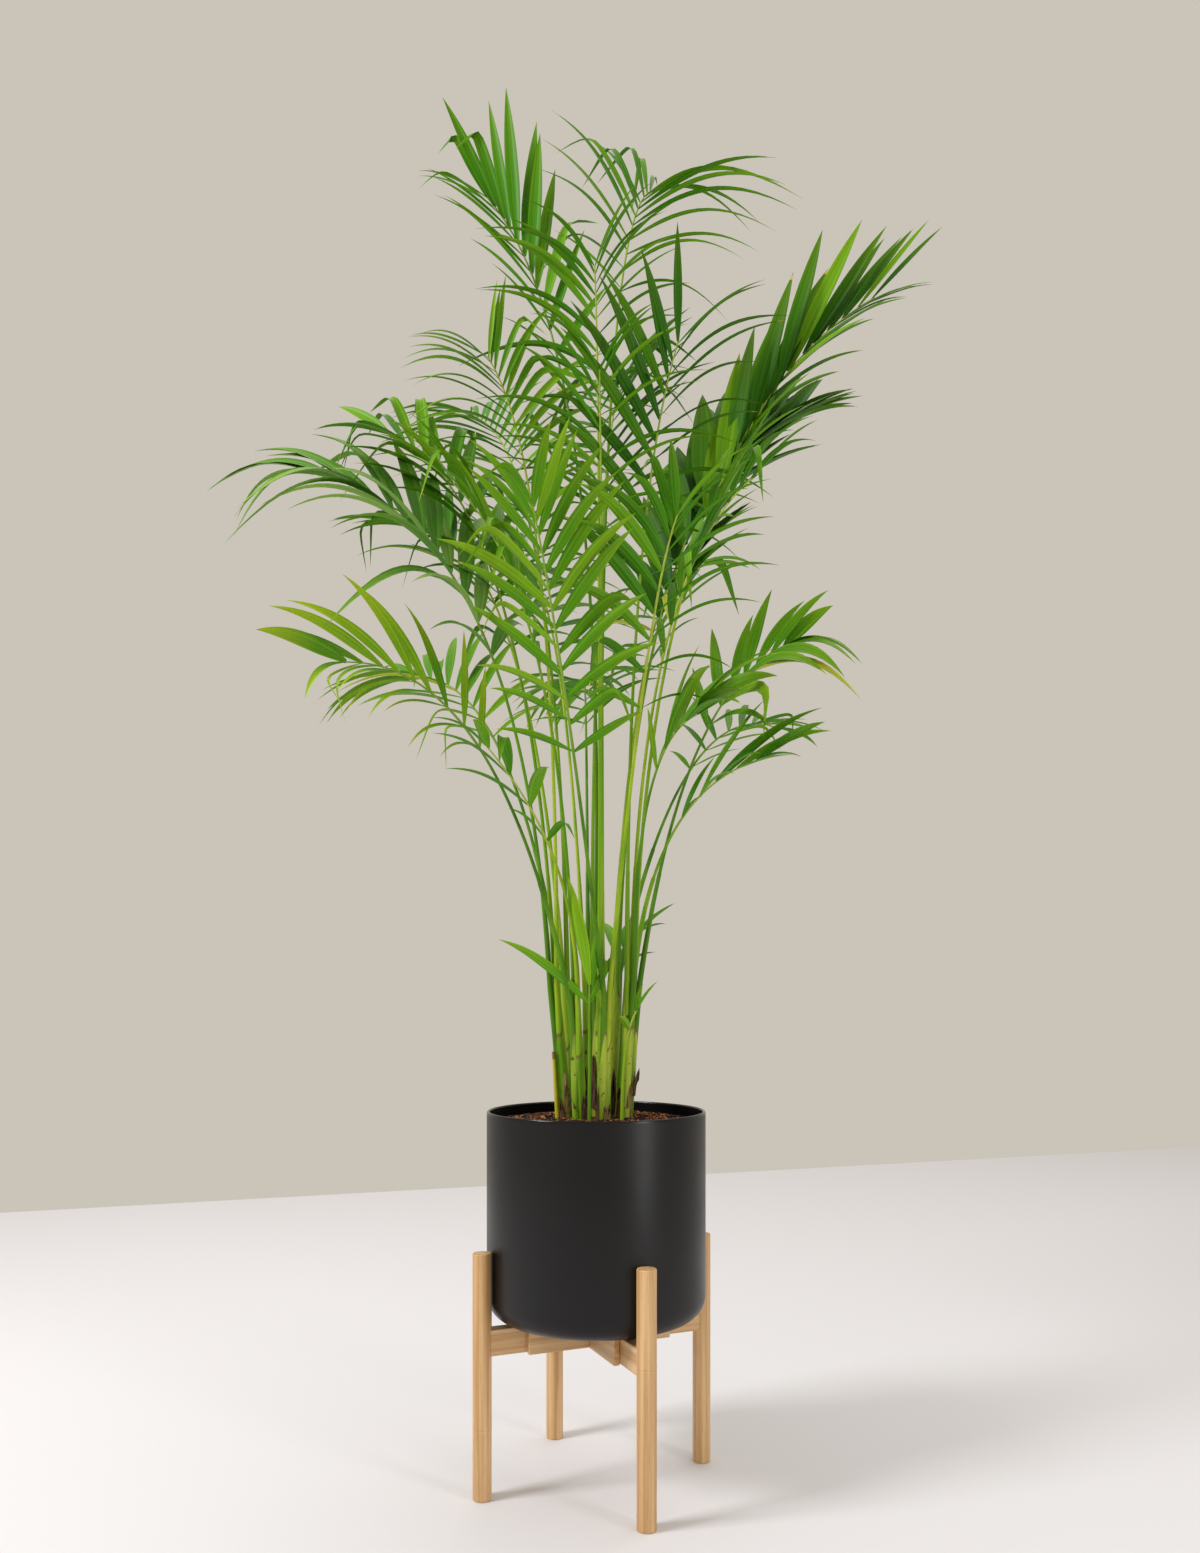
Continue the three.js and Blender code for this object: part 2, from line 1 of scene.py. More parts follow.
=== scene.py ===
import bpy
import numpy as np
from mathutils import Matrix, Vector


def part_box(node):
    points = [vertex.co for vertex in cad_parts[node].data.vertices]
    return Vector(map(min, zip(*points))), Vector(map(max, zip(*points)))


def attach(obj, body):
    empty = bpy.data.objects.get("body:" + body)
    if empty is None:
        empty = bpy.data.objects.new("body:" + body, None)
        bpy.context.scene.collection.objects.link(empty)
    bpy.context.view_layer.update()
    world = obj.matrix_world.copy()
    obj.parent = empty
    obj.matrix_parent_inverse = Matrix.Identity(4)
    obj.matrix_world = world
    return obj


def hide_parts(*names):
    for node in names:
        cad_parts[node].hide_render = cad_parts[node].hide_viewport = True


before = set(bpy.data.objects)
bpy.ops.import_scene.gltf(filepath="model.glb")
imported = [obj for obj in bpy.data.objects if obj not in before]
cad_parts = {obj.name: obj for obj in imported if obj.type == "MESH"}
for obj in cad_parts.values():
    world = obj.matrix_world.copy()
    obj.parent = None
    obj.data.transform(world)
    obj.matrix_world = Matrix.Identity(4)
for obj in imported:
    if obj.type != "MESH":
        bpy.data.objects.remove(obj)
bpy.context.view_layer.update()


# Camera
# It looks level along +Y from 1.36 m in front of the pot's axis. The view is shifted up, so that the
# feet and the highest fronds are both in the picture.
CAMERA_HEIGHT = 0.572
CAMERA_DISTANCE = 1.36
CAMERA_ASIDE = 0.0045
CAMERA_SENSOR = 36
CAMERA_LENS = 26.43
CAMERA_SHIFT = 0.1436

low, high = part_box("pot")
pot_axis = np.array([(low.x + high.x) / 2, (low.y + high.y) / 2, 0])
camera = bpy.data.objects.new("camera", bpy.data.cameras.new("camera"))
camera.data.sensor_width = CAMERA_SENSOR
camera.data.lens = CAMERA_LENS
camera.data.shift_y = CAMERA_SHIFT
camera.location = (pot_axis[0] + CAMERA_ASIDE, pot_axis[1] - CAMERA_DISTANCE, CAMERA_HEIGHT)
camera.rotation_euler = (np.pi / 2, 0, 0)
bpy.context.scene.collection.objects.link(camera)
bpy.context.scene.camera = camera


# Floor and light
# A plain pale floor that ends behind the plant, under a soft studio light. The key light is a softbox
# high on the left, a little in front, with an upright strip on the right and a wide box above. The
# warm grey all round fills in.
FLOOR_SPAN = (-4.5, 4.5)
FLOOR_DEPTH = (-3.0, 2.13)
FLOOR_TURN = 19.2
FLOOR_THICKNESS = 0.02
FILL_GREY = "#cbc4b9"
SOFTBOXES = [
    # place, aim, width, height, watts
    ((-2.2, -0.95, 2.3), (0, 0, 0.5), 0.8, 0.8, 62),
    ((1.7, -1.5, 0.9), (0, 0, 0.6), 0.45, 1.5, 12),
    ((0.6, 1.3, 4.2), (0.2, 0.6, 0), 3.5, 3.5, 52),
]


def srgb(text):
    """A hex colour turned to linear: each value v is ((v + 0.055) / 1.055) to the power 2.4."""
    values = np.array([int(text[i : i + 2], 16) / 255 for i in (1, 3, 5)])
    linear = np.where(values > 0.04045, ((values + 0.055) / 1.055) ** 2.4, values / 12.92)
    return (*linear.tolist(), 1.0)


def put(tree, kind, inputs={}, **settings):
    """Adds a node with its own settings. Each input is a value or the output that it is linked to."""
    node = tree.nodes.new("ShaderNode" + kind)
    for key, value in settings.items():
        setattr(node, key, value)
    for key, value in inputs.items():
        if isinstance(value, bpy.types.NodeSocket):
            tree.links.new(value, node.inputs[key])
        else:
            node.inputs[key].default_value = value
    return node


def material(name, colour, roughness, ior=1.5, **sockets):
    """A material of one Principled shader, with its plain values set on the shader's own sockets."""
    made = bpy.data.materials.new(name)
    made.use_nodes = True
    shader = made.node_tree.nodes["Principled BSDF"]
    shader.inputs["Base Color"].default_value = srgb(colour)
    shader.inputs["Roughness"].default_value = roughness
    shader.inputs["IOR"].default_value = ior
    for key, value in sockets.items():
        shader.inputs[key.replace("_", " ")].default_value = value
    return made, made.node_tree, shader


def skin(name, rings, materials, uv=None, face_material=None, sharp=40):
    """One mesh of joined tubes. rings has the shape (tubes, rings, around, 3). Each ring's points are
    joined to the next ring's by quads, and each tube's two ends are closed by a face. uv gives a pair
    for each point, and face_material a number for each quad's (tube, ring)."""
    tubes, count, around, _ = rings.shape
    ring_start = (np.arange(tubes)[:, None, None] * count + np.arange(count)[None, :, None]) * around
    here = ring_start + np.arange(around)
    after = ring_start + (np.arange(around) + 1) % around
    quads = np.stack([here[:, :-1], after[:, :-1], after[:, 1:], here[:, 1:]], -1)
    corners = np.concatenate([quads.ravel(), here[:, 0, ::-1].ravel(), here[:, -1].ravel()])
    quad_count = quads.size // 4
    starts = np.concatenate([np.arange(quad_count) * 4, quad_count * 4 + np.arange(2 * tubes) * around])
    mesh = bpy.data.meshes.new(name)
    mesh.vertices.add(rings.size // 3)
    mesh.vertices.foreach_set("co", rings.astype(np.float32).ravel())
    mesh.loops.add(len(corners))
    mesh.loops.foreach_set("vertex_index", corners.astype(np.int32))
    mesh.polygons.add(len(starts))
    mesh.polygons.foreach_set("loop_start", starts.astype(np.int32))
    for made in materials:
        mesh.materials.append(made)
    if face_material is not None:
        numbers = np.broadcast_to(face_material[:, :, None], (tubes, count - 1, around)).ravel()
        ends = np.concatenate([face_material[:, 0], face_material[:, -1]])
        mesh.polygons.foreach_set("material_index", np.concatenate([numbers, ends]).astype(np.int32))
    if uv is not None:
        layer = mesh.uv_layers.new(name="surface")
        pairs = np.broadcast_to(uv, (tubes, count, around, 2)).reshape(-1, 2)
        layer.data.foreach_set("uv", pairs[corners].astype(np.float32).ravel())
    mesh.update(calc_edges=True)
    mesh.polygons.foreach_set("use_smooth", np.ones(len(starts), bool))
    mesh.set_sharp_from_angle(angle=np.radians(sharp))
    piece = bpy.data.objects.new(name, mesh)
    bpy.context.scene.collection.objects.link(piece)
    return piece


floor_paint, _, _ = material("floor_matt_paint", "#e0dfe3", 0.9)
turn = np.radians(FLOOR_TURN)
along = np.array([np.cos(turn), np.sin(turn), 0])
inward = np.array([-np.sin(turn), np.cos(turn), 0])
span = np.array(FLOOR_SPAN)[[0, 1, 1, 0], None]
depth = np.array(FLOOR_DEPTH)[[0, 0, 1, 1], None]
corners = span * along + depth * inward
levels = np.array([-FLOOR_THICKNESS, 0.0])[:, None, None] * np.array([0, 0, 1])
floor = skin("floor", (corners + levels)[None] + pot_axis, [floor_paint])

world = bpy.data.worlds.new("studio")
world.use_nodes = True
world.node_tree.nodes["Background"].inputs["Color"].default_value = srgb(FILL_GREY)
bpy.context.scene.world = world
bpy.context.scene.view_settings.view_transform = "Standard"

for i, (place, aim, width, height, watts) in enumerate(SOFTBOXES):
    lamp = bpy.data.objects.new(f"softbox_{i + 1}", bpy.data.lights.new(f"softbox_{i + 1}", "AREA"))
    lamp.data.shape = "RECTANGLE"
    lamp.data.size = width
    lamp.data.size_y = height
    lamp.data.energy = watts
    lamp.location = pot_axis + place
    away = Vector(place) - Vector(aim)
    lamp.rotation_euler = away.to_track_quat("Z", "Y").to_euler()
    bpy.context.scene.collection.objects.link(lamp)


# Stand legs
# Four round poles of laminated bamboo, turned, sanded and clear lacquered. Their ends are eased, and
# two of them show a node of the cane as a faint ring.
LEG_RADIUS = 11.0
LEG_HEIGHT = 282.0
LEG_EASE = 1.6
LEG_CIRCLE = 141.5
LEG_BEARINGS = [22.8, 112.8, 202.8, 292.8]
LEG_NODE_HEIGHTS = [None, None, 81.0, 174.0]
# A node's rings: their places along the pole, and how far they stand out. Two ridges hold a groove.
NODE_STEPS = [-2.2, -1.0, -0.4, 0.4, 1.0, 2.2]
NODE_SWELLS = [0, 0.16, -0.22, -0.22, 0.16, 0]
POLE_SIDES = 48
EASE_STEPS = 4
BAMBOO_STRIP = 5.0
BAMBOO_FIBRE = 0.625


def in_frame(points):
    """Millimetres about the pot's axis, turned to the frame's metres."""
    return points / 1000 + pot_axis


def outwards(bearing):
    """The horizontal unit vector at a bearing in degrees from +X towards +Y."""
    turn = np.radians(np.asarray(bearing, float))
    return np.stack([np.cos(turn), np.sin(turn), np.zeros_like(turn)], -1)


def turned(profile, sides):
    """A profile of (radius, height) pairs turned about the upright axis: a ring of points for each."""
    around = outwards(np.arange(sides) * 360 / sides)
    return profile[:, 0, None, None] * around + profile[:, 1, None, None] * np.array([0, 0, 1])


def round_corner(x, y, radius, first, last, steps):
    """Points on a circle about (x, y) from the angle first to the angle last, in degrees."""
    turn = np.radians(np.linspace(first, last, steps + 1))
    return np.stack([x + radius * np.cos(turn), y + radius * np.sin(turn)], -1)


def bamboo(name, bearing=None):
    """Laminated bamboo with its fibres upright, or level along a bearing."""
    # Strips differ a little in tone. Fibres run along them, the darker ones broken into dashes. Sanding
    # and lacquer leave a satin surface in which the fibres can just be felt.
    made, tree, shader = material(name, "#cda470", 0.42, Coat_Weight=0.12, Coat_Roughness=0.3)
    place = put(tree, "TexCoord").outputs["Object"]
    if bearing is None:
        along = put(tree, "Mapping", {0: place})
        stretch = (1, 1, 0.02)
    else:
        along = put(tree, "Mapping", {0: place, "Rotation": (0, 0, -np.radians(bearing))})
        stretch = (0.02, 1, 1)
    long_way = put(tree, "Mapping", {0: along.outputs[0], "Scale": stretch}).outputs[0]
    strips = put(tree, "TexNoise", {"Vector": long_way, "Scale": 1000 / BAMBOO_STRIP, "Detail": 1.0})
    fibres = put(tree, "TexNoise", {"Vector": long_way, "Scale": 1000 / BAMBOO_FIBRE, "Detail": 2.0})
    tone = put(tree, "MapRange", {0: strips.outputs[0], 1: 0.35, 2: 0.65})
    wood = put(tree, "Mix", {0: tone.outputs[0], 6: srgb("#be925c"), 7: srgb("#dbb684")}, data_type="RGBA")
    dark = put(tree, "MapRange", {0: fibres.outputs[0], 1: 0.58, 2: 0.7, 4: 0.4})
    drawn = put(tree, "Mix", {0: dark.outputs[0], 6: wood.outputs[2], 7: srgb("#9a6a38")}, data_type="RGBA")
    tree.links.new(drawn.outputs[2], shader.inputs["Base Color"])
    bump = put(tree, "Bump", {"Height": fibres.outputs[0], "Strength": 0.15, "Distance": 0.0002})
    tree.links.new(bump.outputs[0], shader.inputs["Normal"])
    return made


upright_bamboo = bamboo("laminated_bamboo_upright")
for i, (bearing, node_height) in enumerate(zip(LEG_BEARINGS, LEG_NODE_HEIGHTS)):
    foot = round_corner(LEG_RADIUS - LEG_EASE, LEG_EASE, LEG_EASE, -90, 0, EASE_STEPS)
    head = round_corner(LEG_RADIUS - LEG_EASE, LEG_HEIGHT - LEG_EASE, LEG_EASE, 0, 90, EASE_STEPS)
    middle = np.zeros((0, 2))
    if node_height is not None:
        middle = np.stack([LEG_RADIUS + np.array(NODE_SWELLS), node_height + np.array(NODE_STEPS)], -1)
    pole = turned(np.concatenate([foot, middle, head]), POLE_SIDES) + LEG_CIRCLE * outwards(bearing)
    leg = skin(f"bamboo_leg_{i + 1}", in_frame(pole)[None], [upright_bamboo], sharp=50)
    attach(leg, "root")
    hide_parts(f"leg_{i + 1}")


# Stand cross
# Two flat bamboo beams halved into each other under the pot, with an arm held in each forked end that
# runs to a leg. They are sawn and routed, and their edges are eased before the lacquer.
CROSS = {"beam_lower": 0, "arm_1": 0, "arm_3": 0, "beam_upper": 1, "arm_2": 1, "arm_4": 1}
EDGE_EASE = 0.8
EDGE_ANGLE = 40
FLAT_ANGLE = 2
WELD_DISTANCE = 0.02

level_bamboo = [bamboo(f"laminated_bamboo_level_{i + 1}", LEG_BEARINGS[i]) for i in range(2)]
for node, way in CROSS.items():
    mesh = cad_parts[node].data.copy()
    mesh.materials.clear()
    mesh.materials.append(level_bamboo[way])
    bar = bpy.data.objects.new("bamboo_" + node, mesh)
    bpy.context.scene.collection.objects.link(bar)
    weld = bar.modifiers.new("weld", "WELD")
    weld.merge_threshold = WELD_DISTANCE / 1000
    flat = bar.modifiers.new("flat", "DECIMATE")
    flat.decimate_type = "DISSOLVE"
    flat.angle_limit = np.radians(FLAT_ANGLE)
    ease = bar.modifiers.new("eased_edges", "BEVEL")
    ease.width = EDGE_EASE / 1000
    ease.segments = 2
    ease.angle_limit = np.radians(EDGE_ANGLE)
    ease.harden_normals = True
    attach(bar, "root")
    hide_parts(node)


# Pot
# A thin-walled cylinder of moulded plastic with a soft matt black coat outside, a rounded foot and a
# narrow round lip. It stands on the crossed beams between the four legs.
POT_RADIUS = 130.0
POT_BOTTOM = 196.3
POT_HEIGHT = 244.0
POT_WALL = 3.6
POT_FLOOR = 4.0
POT_FOOT_RADIUS = 28.0
POT_SIDES = 160
FOOT_STEPS = 12
LIP_STEPS = 10
BASIN_STEPS = 8
MOULD_GRAIN = 0.7143
HANDLED_PATCH = 71.43
LIP_RUBBED = (4.0, 1.0)

# Matt moulded plastic: the fine grain of the mould, drawn coarser than it is so that it shows, breaks up
# the reflection, and a softbox is only a broad grey band down the side. The lip is rubbed smoother, and
# catches the light as a thin line.
coat, tree, shader = material("matt_black_moulded_plastic", "#050406", 0.5, Specular_IOR_Level=0.34)
place = put(tree, "TexCoord").outputs["Object"]
grain = put(tree, "TexNoise", {"Vector": place, "Scale": 1000 / MOULD_GRAIN, "Detail": 2.0})
broad = put(tree, "TexNoise", {"Vector": place, "Scale": 1000 / HANDLED_PATCH, "Detail": 2.0})
bump = put(tree, "Bump", {"Height": grain.outputs[0], "Strength": 0.12, "Distance": 0.0002})
tree.links.new(bump.outputs[0], shader.inputs["Normal"])
handled = put(tree, "MapRange", {0: broad.outputs[0], 1: 0.3, 2: 0.7, 3: 0.33, 4: 0.4})
height = put(tree, "SeparateXYZ", {0: place}).outputs[2]
rub_start, rub_full = ((POT_BOTTOM + POT_HEIGHT - below) / 1000 for below in LIP_RUBBED)
rubbed = put(tree, "MapRange", {0: height, 1: rub_start, 2: rub_full, 4: 0.2})
smooth = put(tree, "Math", {0: handled.outputs[0], 1: rubbed.outputs[0]}, operation="SUBTRACT")
tree.links.new(smooth.outputs[0], shader.inputs["Roughness"])
# Bare moulded plastic, dull and dark, on the inside.
bare, _, _ = material("bare_black_plastic", "#040304", 0.8, Specular_IOR_Level=0.1)

inner = POT_RADIUS - POT_WALL
lip = POT_WALL / 2
outside = np.concatenate([
    round_corner(POT_RADIUS - POT_FOOT_RADIUS, POT_FOOT_RADIUS, POT_FOOT_RADIUS, -90, 0, FOOT_STEPS),
    round_corner(POT_RADIUS - lip, POT_HEIGHT - lip, lip, 0, 180, LIP_STEPS),
])
basin_x, basin_y = inner - POT_FOOT_RADIUS, POT_FLOOR + POT_FOOT_RADIUS
basin = round_corner(basin_x, basin_y, POT_FOOT_RADIUS, 0, -90, BASIN_STEPS)
profile = np.concatenate([outside, basin])
walls = turned(profile + [0, POT_BOTTOM], POT_SIDES)
side = (np.arange(len(profile) - 1) >= len(outside) - 1).astype(int)
pot = skin("moulded_pot", in_frame(walls)[None], [coat, bare], face_material=side[None], sharp=60)
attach(pot, "root")
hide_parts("pot")


# Growing mix
# Loose brown mix of composted bark and coir, heaped a little at the canes. Its top is crumbly, with
# chips and short fibres of three browns lying on it.
SOIL_RADIUS = 125.6
SOIL_EDGE_HEIGHT = 425.5
SOIL_MOUND = 6.0
SOIL_FLAT = 62.0
SOIL_BOTTOM = 200.9
SOIL_CORNER = 24.0
SOIL_INNERMOST = 1.5
SOIL_RINGS = 60
SOIL_SIDES = 180
MIX_GRAIN = 1.111
CRUMB_COUNT = 2600
CRUMB_MARGIN = 4
CRUMB_LIFT = 0.5
CRUMB_SLOPE = 0.3
CRUMB_HALF_LENGTH = (1.1, 2.6)
CRUMB_RADIUS = (0.6, 1.5)
CRUMB_ROUGHNESS = 0.25
CRUMB_SIDES = 5
FIBRE_SHARE = 0.35
FIBRE_STRETCH = 2.2
SHADE_SHARES = [0.46, 0.3, 0.24]
# A crumb's rings: their places over its half length, and their radii over its own.
CRUMB_STEPS = np.array([-1, -0.4, 0.5, 1])
CRUMB_SWELL = np.array([0.35, 1, 0.9, 0.3])


def mix_finish(name, dark, light):
    """Composted bark: rough, with 1 mm grains that differ in tone."""
    made, tree, shader = material(name, dark, 0.95, ior=1.4)
    place = put(tree, "TexCoord").outputs["Object"]
    grains = put(tree, "TexNoise", {"Vector": place, "Scale": 1000 / MIX_GRAIN, "Detail": 3.0})
    tone = put(tree, "MapRange", {0: grains.outputs[0], 1: 0.35, 2: 0.68})
    blend = put(tree, "Mix", {0: tone.outputs[0], 6: srgb(dark), 7: srgb(light)}, data_type="RGBA")
    tree.links.new(blend.outputs[2], shader.inputs["Base Color"])
    bump = put(tree, "Bump", {"Height": grains.outputs[0], "Strength": 0.6, "Distance": 0.0006})
    tree.links.new(bump.outputs[0], shader.inputs["Normal"])
    return made


def soil_height(x, y):
    """The mound's height: flat in the middle, falling to the wall, with ripples of crumbs of 4 to 15 mm."""
    fall = np.clip((np.hypot(x, y) - SOIL_FLAT) / (SOIL_RADIUS - SOIL_FLAT), 0, 1)
    ripple = np.sin(x * 0.41 + 1.3 * np.sin(y * 0.33)) + np.sin(y * 0.53 + 1.1 * np.sin(x * 0.47))
    fine = np.sin(x * 1.31 + y * 0.6) * np.sin(y * 1.17 - x * 0.4)
    return SOIL_EDGE_HEIGHT + SOIL_MOUND * (1 - fall) + 0.45 * ripple + 0.4 * fine


dark_mix = mix_finish("composted_bark_dark", "#170c07", "#3a2016")
brown_mix = mix_finish("composted_bark_brown", "#4a2a1a", "#7c482c")
pale_mix = mix_finish("coir_chips_pale", "#8c5432", "#c88c58")

radii = np.linspace(SOIL_RADIUS, SOIL_INNERMOST, SOIL_RINGS)
radii = np.concatenate([[SOIL_RADIUS - SOIL_CORNER, SOIL_RADIUS], radii])
rings = turned(np.stack([radii, np.full(len(radii), SOIL_BOTTOM)], -1), SOIL_SIDES)
rings[1, :, 2] += SOIL_CORNER
rings[2:, :, 2] = soil_height(rings[2:, :, 0], rings[2:, :, 1])
mound = skin("growing_mix", in_frame(rings)[None], [dark_mix])
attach(mound, "root")
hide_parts("soil")

# Crumbs and fibres are short lumps of four rings, stretched and turned each its own way.
chance = np.random.default_rng(12)
spread = np.sqrt(chance.random(CRUMB_COUNT)) * (SOIL_RADIUS - CRUMB_MARGIN)
centre = spread[:, None] * outwards(chance.random(CRUMB_COUNT) * 360)
centre[:, 2] = soil_height(centre[:, 0], centre[:, 1]) + CRUMB_LIFT
long_half = chance.uniform(*CRUMB_HALF_LENGTH, CRUMB_COUNT)
long_half = long_half * np.where(chance.random(CRUMB_COUNT) < FIBRE_SHARE, FIBRE_STRETCH, 1)
thick = chance.uniform(*CRUMB_RADIUS, CRUMB_COUNT)
heading = outwards(chance.random(CRUMB_COUNT) * 360)
heading[:, 2] = CRUMB_SLOPE * chance.normal(size=CRUMB_COUNT)
heading /= np.linalg.norm(heading, axis=-1, keepdims=True)
across = np.cross(heading, [0.1, 0.2, 1.0])
across /= np.linalg.norm(across, axis=-1, keepdims=True)
upper = np.cross(heading, across)
turn = np.arange(CRUMB_SIDES) * 2 * np.pi / CRUMB_SIDES
rough = 1 + CRUMB_ROUGHNESS * chance.normal(size=(CRUMB_COUNT, len(CRUMB_STEPS), CRUMB_SIDES, 1))
reach = thick[:, None, None, None] * CRUMB_SWELL[None, :, None, None] * rough
crumbs = (
    centre[:, None, None]
    + heading[:, None, None] * (long_half[:, None] * CRUMB_STEPS)[:, :, None, None]
    + reach * (np.cos(turn)[:, None] * across[:, None, None] + np.sin(turn)[:, None] * upper[:, None, None])
)
shade = chance.choice(3, CRUMB_COUNT, p=SHADE_SHARES)[:, None] + np.zeros(len(CRUMB_STEPS) - 1, int)
chips = skin("bark_and_coir_chips", in_frame(crumbs), [dark_mix, brown_mix, pale_mix], face_material=shade)
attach(chips, "root")
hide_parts("soil")


# Canes
# The clump's thick green bases. Each is the sheaths of its fronds, wrapped round one another from the
# soil up, and each sheath opens where its frond's stalk leaves. Old ones have left brown scars.
SOIL_TOP = 432.6
SHEATH_RADIUS = 5.6
SHEATH_WAIST = 0.1
SHEATH_ASIDE = 0.66
SHEATH_LAP = 0.14
SHEATH_TONGUE = 0.16
PARTINGS = [0.42, 0.6, 0.78]
PARTING_WOBBLE = 0.1
PARTING_LENGTH = 0.2
STALK_FOOT_RADIUS = 3.3
STALK_SLIMMING = 0.85
FEET_CIRCLE = 4.75
CANE_SIDES = 24
# Heights of the rings over the cane's own. Those over 1 follow its stalks.
CANE_STATIONS = np.concatenate([np.linspace(0, 1, 30), np.linspace(1.04, 1.5, 12)])
SHEATH_PATCH = 18.18
SHEATH_VEIN = 1.111
SCAR = 6.667
SCAR_HEIGHTS = (432.0, 600.0)
STALK_VEIN = 1.0
STALK_MOTTLE = 16.67
CANES = {
    # bearing and distance of the foot from the pot's axis, height, lean outwards at the top
    "cane_centre": (0, 3, 186, 0),
    "cane_right": (13, 36, 160, 13),
    "cane_back_right": (56, 35, 172, 10),
    "cane_back": (102, 36, 150, 12),
    "cane_back_left": (148, 35, 168, 12),
    "cane_left": (192, 37, 155, 14),
    "cane_front_left": (238, 35, 138, 13),
    "cane_front": (284, 34, 146, 9),
    "cane_front_right": (328, 36, 164, 12),
}
SHOOTS = {"shoot_front_left": (261, 50), "shoot_front_right": (306, 51), "shoot_back": (80, 51)}
FROND_COLUMNS = [
    "from", "bearing", "reach", "height", "lean", "rise", "roll", "bare", "pairs", "leaf", "droop",
]
FRONDS = [
    ["cane_centre", 168, 135, 1550, -0.15, 0.8, -65, 0.64, 11, 170, 0.12],
    ["cane_centre", 265, 70, 1400, 0, 0.9, 15, 0.62, 9, 145, 0.3],
    ["cane_centre", 40, 80, 1575, -0.1, 0.93, 40, 0.66, 10, 165, 0.65],
    ["cane_right", 350, 172, 985, 0.3, 0.9, 35, 0.58, 8, 140, 0.3],
    ["cane_right", 2, 292, 1425, 0.05, 0.8, 48, 0.53, 11, 168, 0.12],
    ["cane_right", 326, 165, 840, 0.15, 0.9, 20, 0.58, 6, 115, 0.25],
    ["cane_back_right", 40, 290, 950, 0.35, 1.05, 15, 0.5, 9, 140, 0.35],
    ["cane_back_right", 62, 270, 1190, 0.25, 0.95, -20, 0.45, 11, 155, 0.3],
    ["cane_back_right", 16, 215, 1300, 0.1, 0.85, 40, 0.46, 11, 165, 0.25],
    ["cane_back", 92, 280, 1030, 0.35, 1.1, -15, 0.5, 9, 135, 0.35],
    ["cane_back", 112, 290, 1210, 0.25, 0.95, 20, 0.45, 11, 155, 0.3],
    ["cane_back", 76, 190, 1440, 0.05, 0.85, -15, 0.5, 11, 160, 0.25],
    ["cane_back_left", 142, 300, 1010, 0.3, 1.05, -30, 0.48, 10, 145, 0.35],
    ["cane_back_left", 157, 215, 1180, 0.2, 0.95, -25, 0.48, 10, 145, 0.3],
    ["cane_back_left", 126, 220, 1370, 0.1, 0.85, -25, 0.48, 11, 155, 0.25],
    ["cane_left", 193, 268, 1165, 0.12, 0.95, -40, 0.45, 11, 160, 0.75],
    ["cane_left", 200, 84, 1315, 0, 0.85, -40, 0.58, 9, 140, 0.25],
    ["cane_left", 168, 210, 1265, 0.15, 0.88, -40, 0.5, 10, 140, 0.35],
    ["cane_front_left", 208, 265, 925, 0.35, 1.08, -30, 0.5, 10, 150, 0.7],
    ["cane_front_left", 236, 165, 835, 0, 0.65, -10, 0.6, 5, 105, 0.5],
    ["cane_front_left", 196, 150, 1160, 0.1, 0.85, -20, 0.52, 9, 140, 0.3],
    ["cane_front", 252, 225, 1050, 0.6, 0.75, 0, 0.42, 11, 125, 0.2],
    ["cane_front", 290, 195, 1055, 0.6, 0.9, 5, 0.45, 10, 130, 0.25],
    ["cane_front", 268, 95, 1250, 0.05, 0.85, 0, 0.55, 9, 140, 0.3],
    ["cane_front_right", 318, 95, 890, 0, 0.95, 0, 0.6, 6, 110, 0.3],
    ["cane_front_right", 330, 152, 1150, 0.05, 0.85, 30, 0.5, 9, 145, 0.3],
    ["cane_front_right", 296, 120, 1280, 0, 0.8, 0, 0.52, 10, 155, 0.2],
    ["shoot_front_left", 270, 10, 590, 0, 0.8, 0, 0.75, 2, 165, 0.2],
    ["shoot_front_right", 330, 20, 560, 0, 0.8, 20, 0.7, 2, 60, 0.2],
    ["shoot_back", 62, 55, 640, 0, 0.8, 0, 0.7, 3, 95, 0.2],
]
fronds = [dict(zip(FROND_COLUMNS, row), number=i + 1) for i, row in enumerate(FRONDS)]
UP = np.array([0.0, 0.0, 1.0])


def unit(vectors):
    """Each vector divided by its length."""
    return vectors / np.linalg.norm(vectors, axis=-1, keepdims=True)


def cane_axis(name):
    """A cane's foot on the soil and its top, which stands outwards of the foot by the lean."""
    bearing, distance, height, lean = CANES[name]
    foot = outwards(bearing) * distance + UP * SOIL_TOP
    return foot, foot + outwards(bearing) * lean + UP * height


def frond_foot(frond):
    """Where a stalk starts: on its cane's top, a third of a turn from its neighbours, or on the soil."""
    if frond["from"] in SHOOTS:
        bearing, distance = SHOOTS[frond["from"]]
        return outwards(bearing) * distance + UP * SOIL_TOP
    siblings = [other for other in fronds if other["from"] == frond["from"]]
    place = siblings[0]["bearing"] + siblings.index(frond) * 360 / len(siblings)
    return cane_axis(frond["from"])[1] + outwards(place) * FEET_CIRCLE


def rib_line(frond, share):
    """Points and unit ways along a frond's rib: a curve with one bend, (1-t)^2 foot + 2t(1-t) bend +
    t^2 tip, in the upright plane of the frond's bearing."""
    foot = frond_foot(frond)
    out = outwards(frond["bearing"])
    climb = frond["height"] - foot[2]
    bend = foot + out * frond["lean"] * frond["reach"] + UP * frond["rise"] * climb
    tip = foot + out * frond["reach"] + UP * climb
    t = np.asarray(share, float)[..., None]
    points = (1 - t) ** 2 * foot + 2 * t * (1 - t) * bend + t**2 * tip
    return points, unit((1 - t) * (bend - foot) + t * (tip - bend))


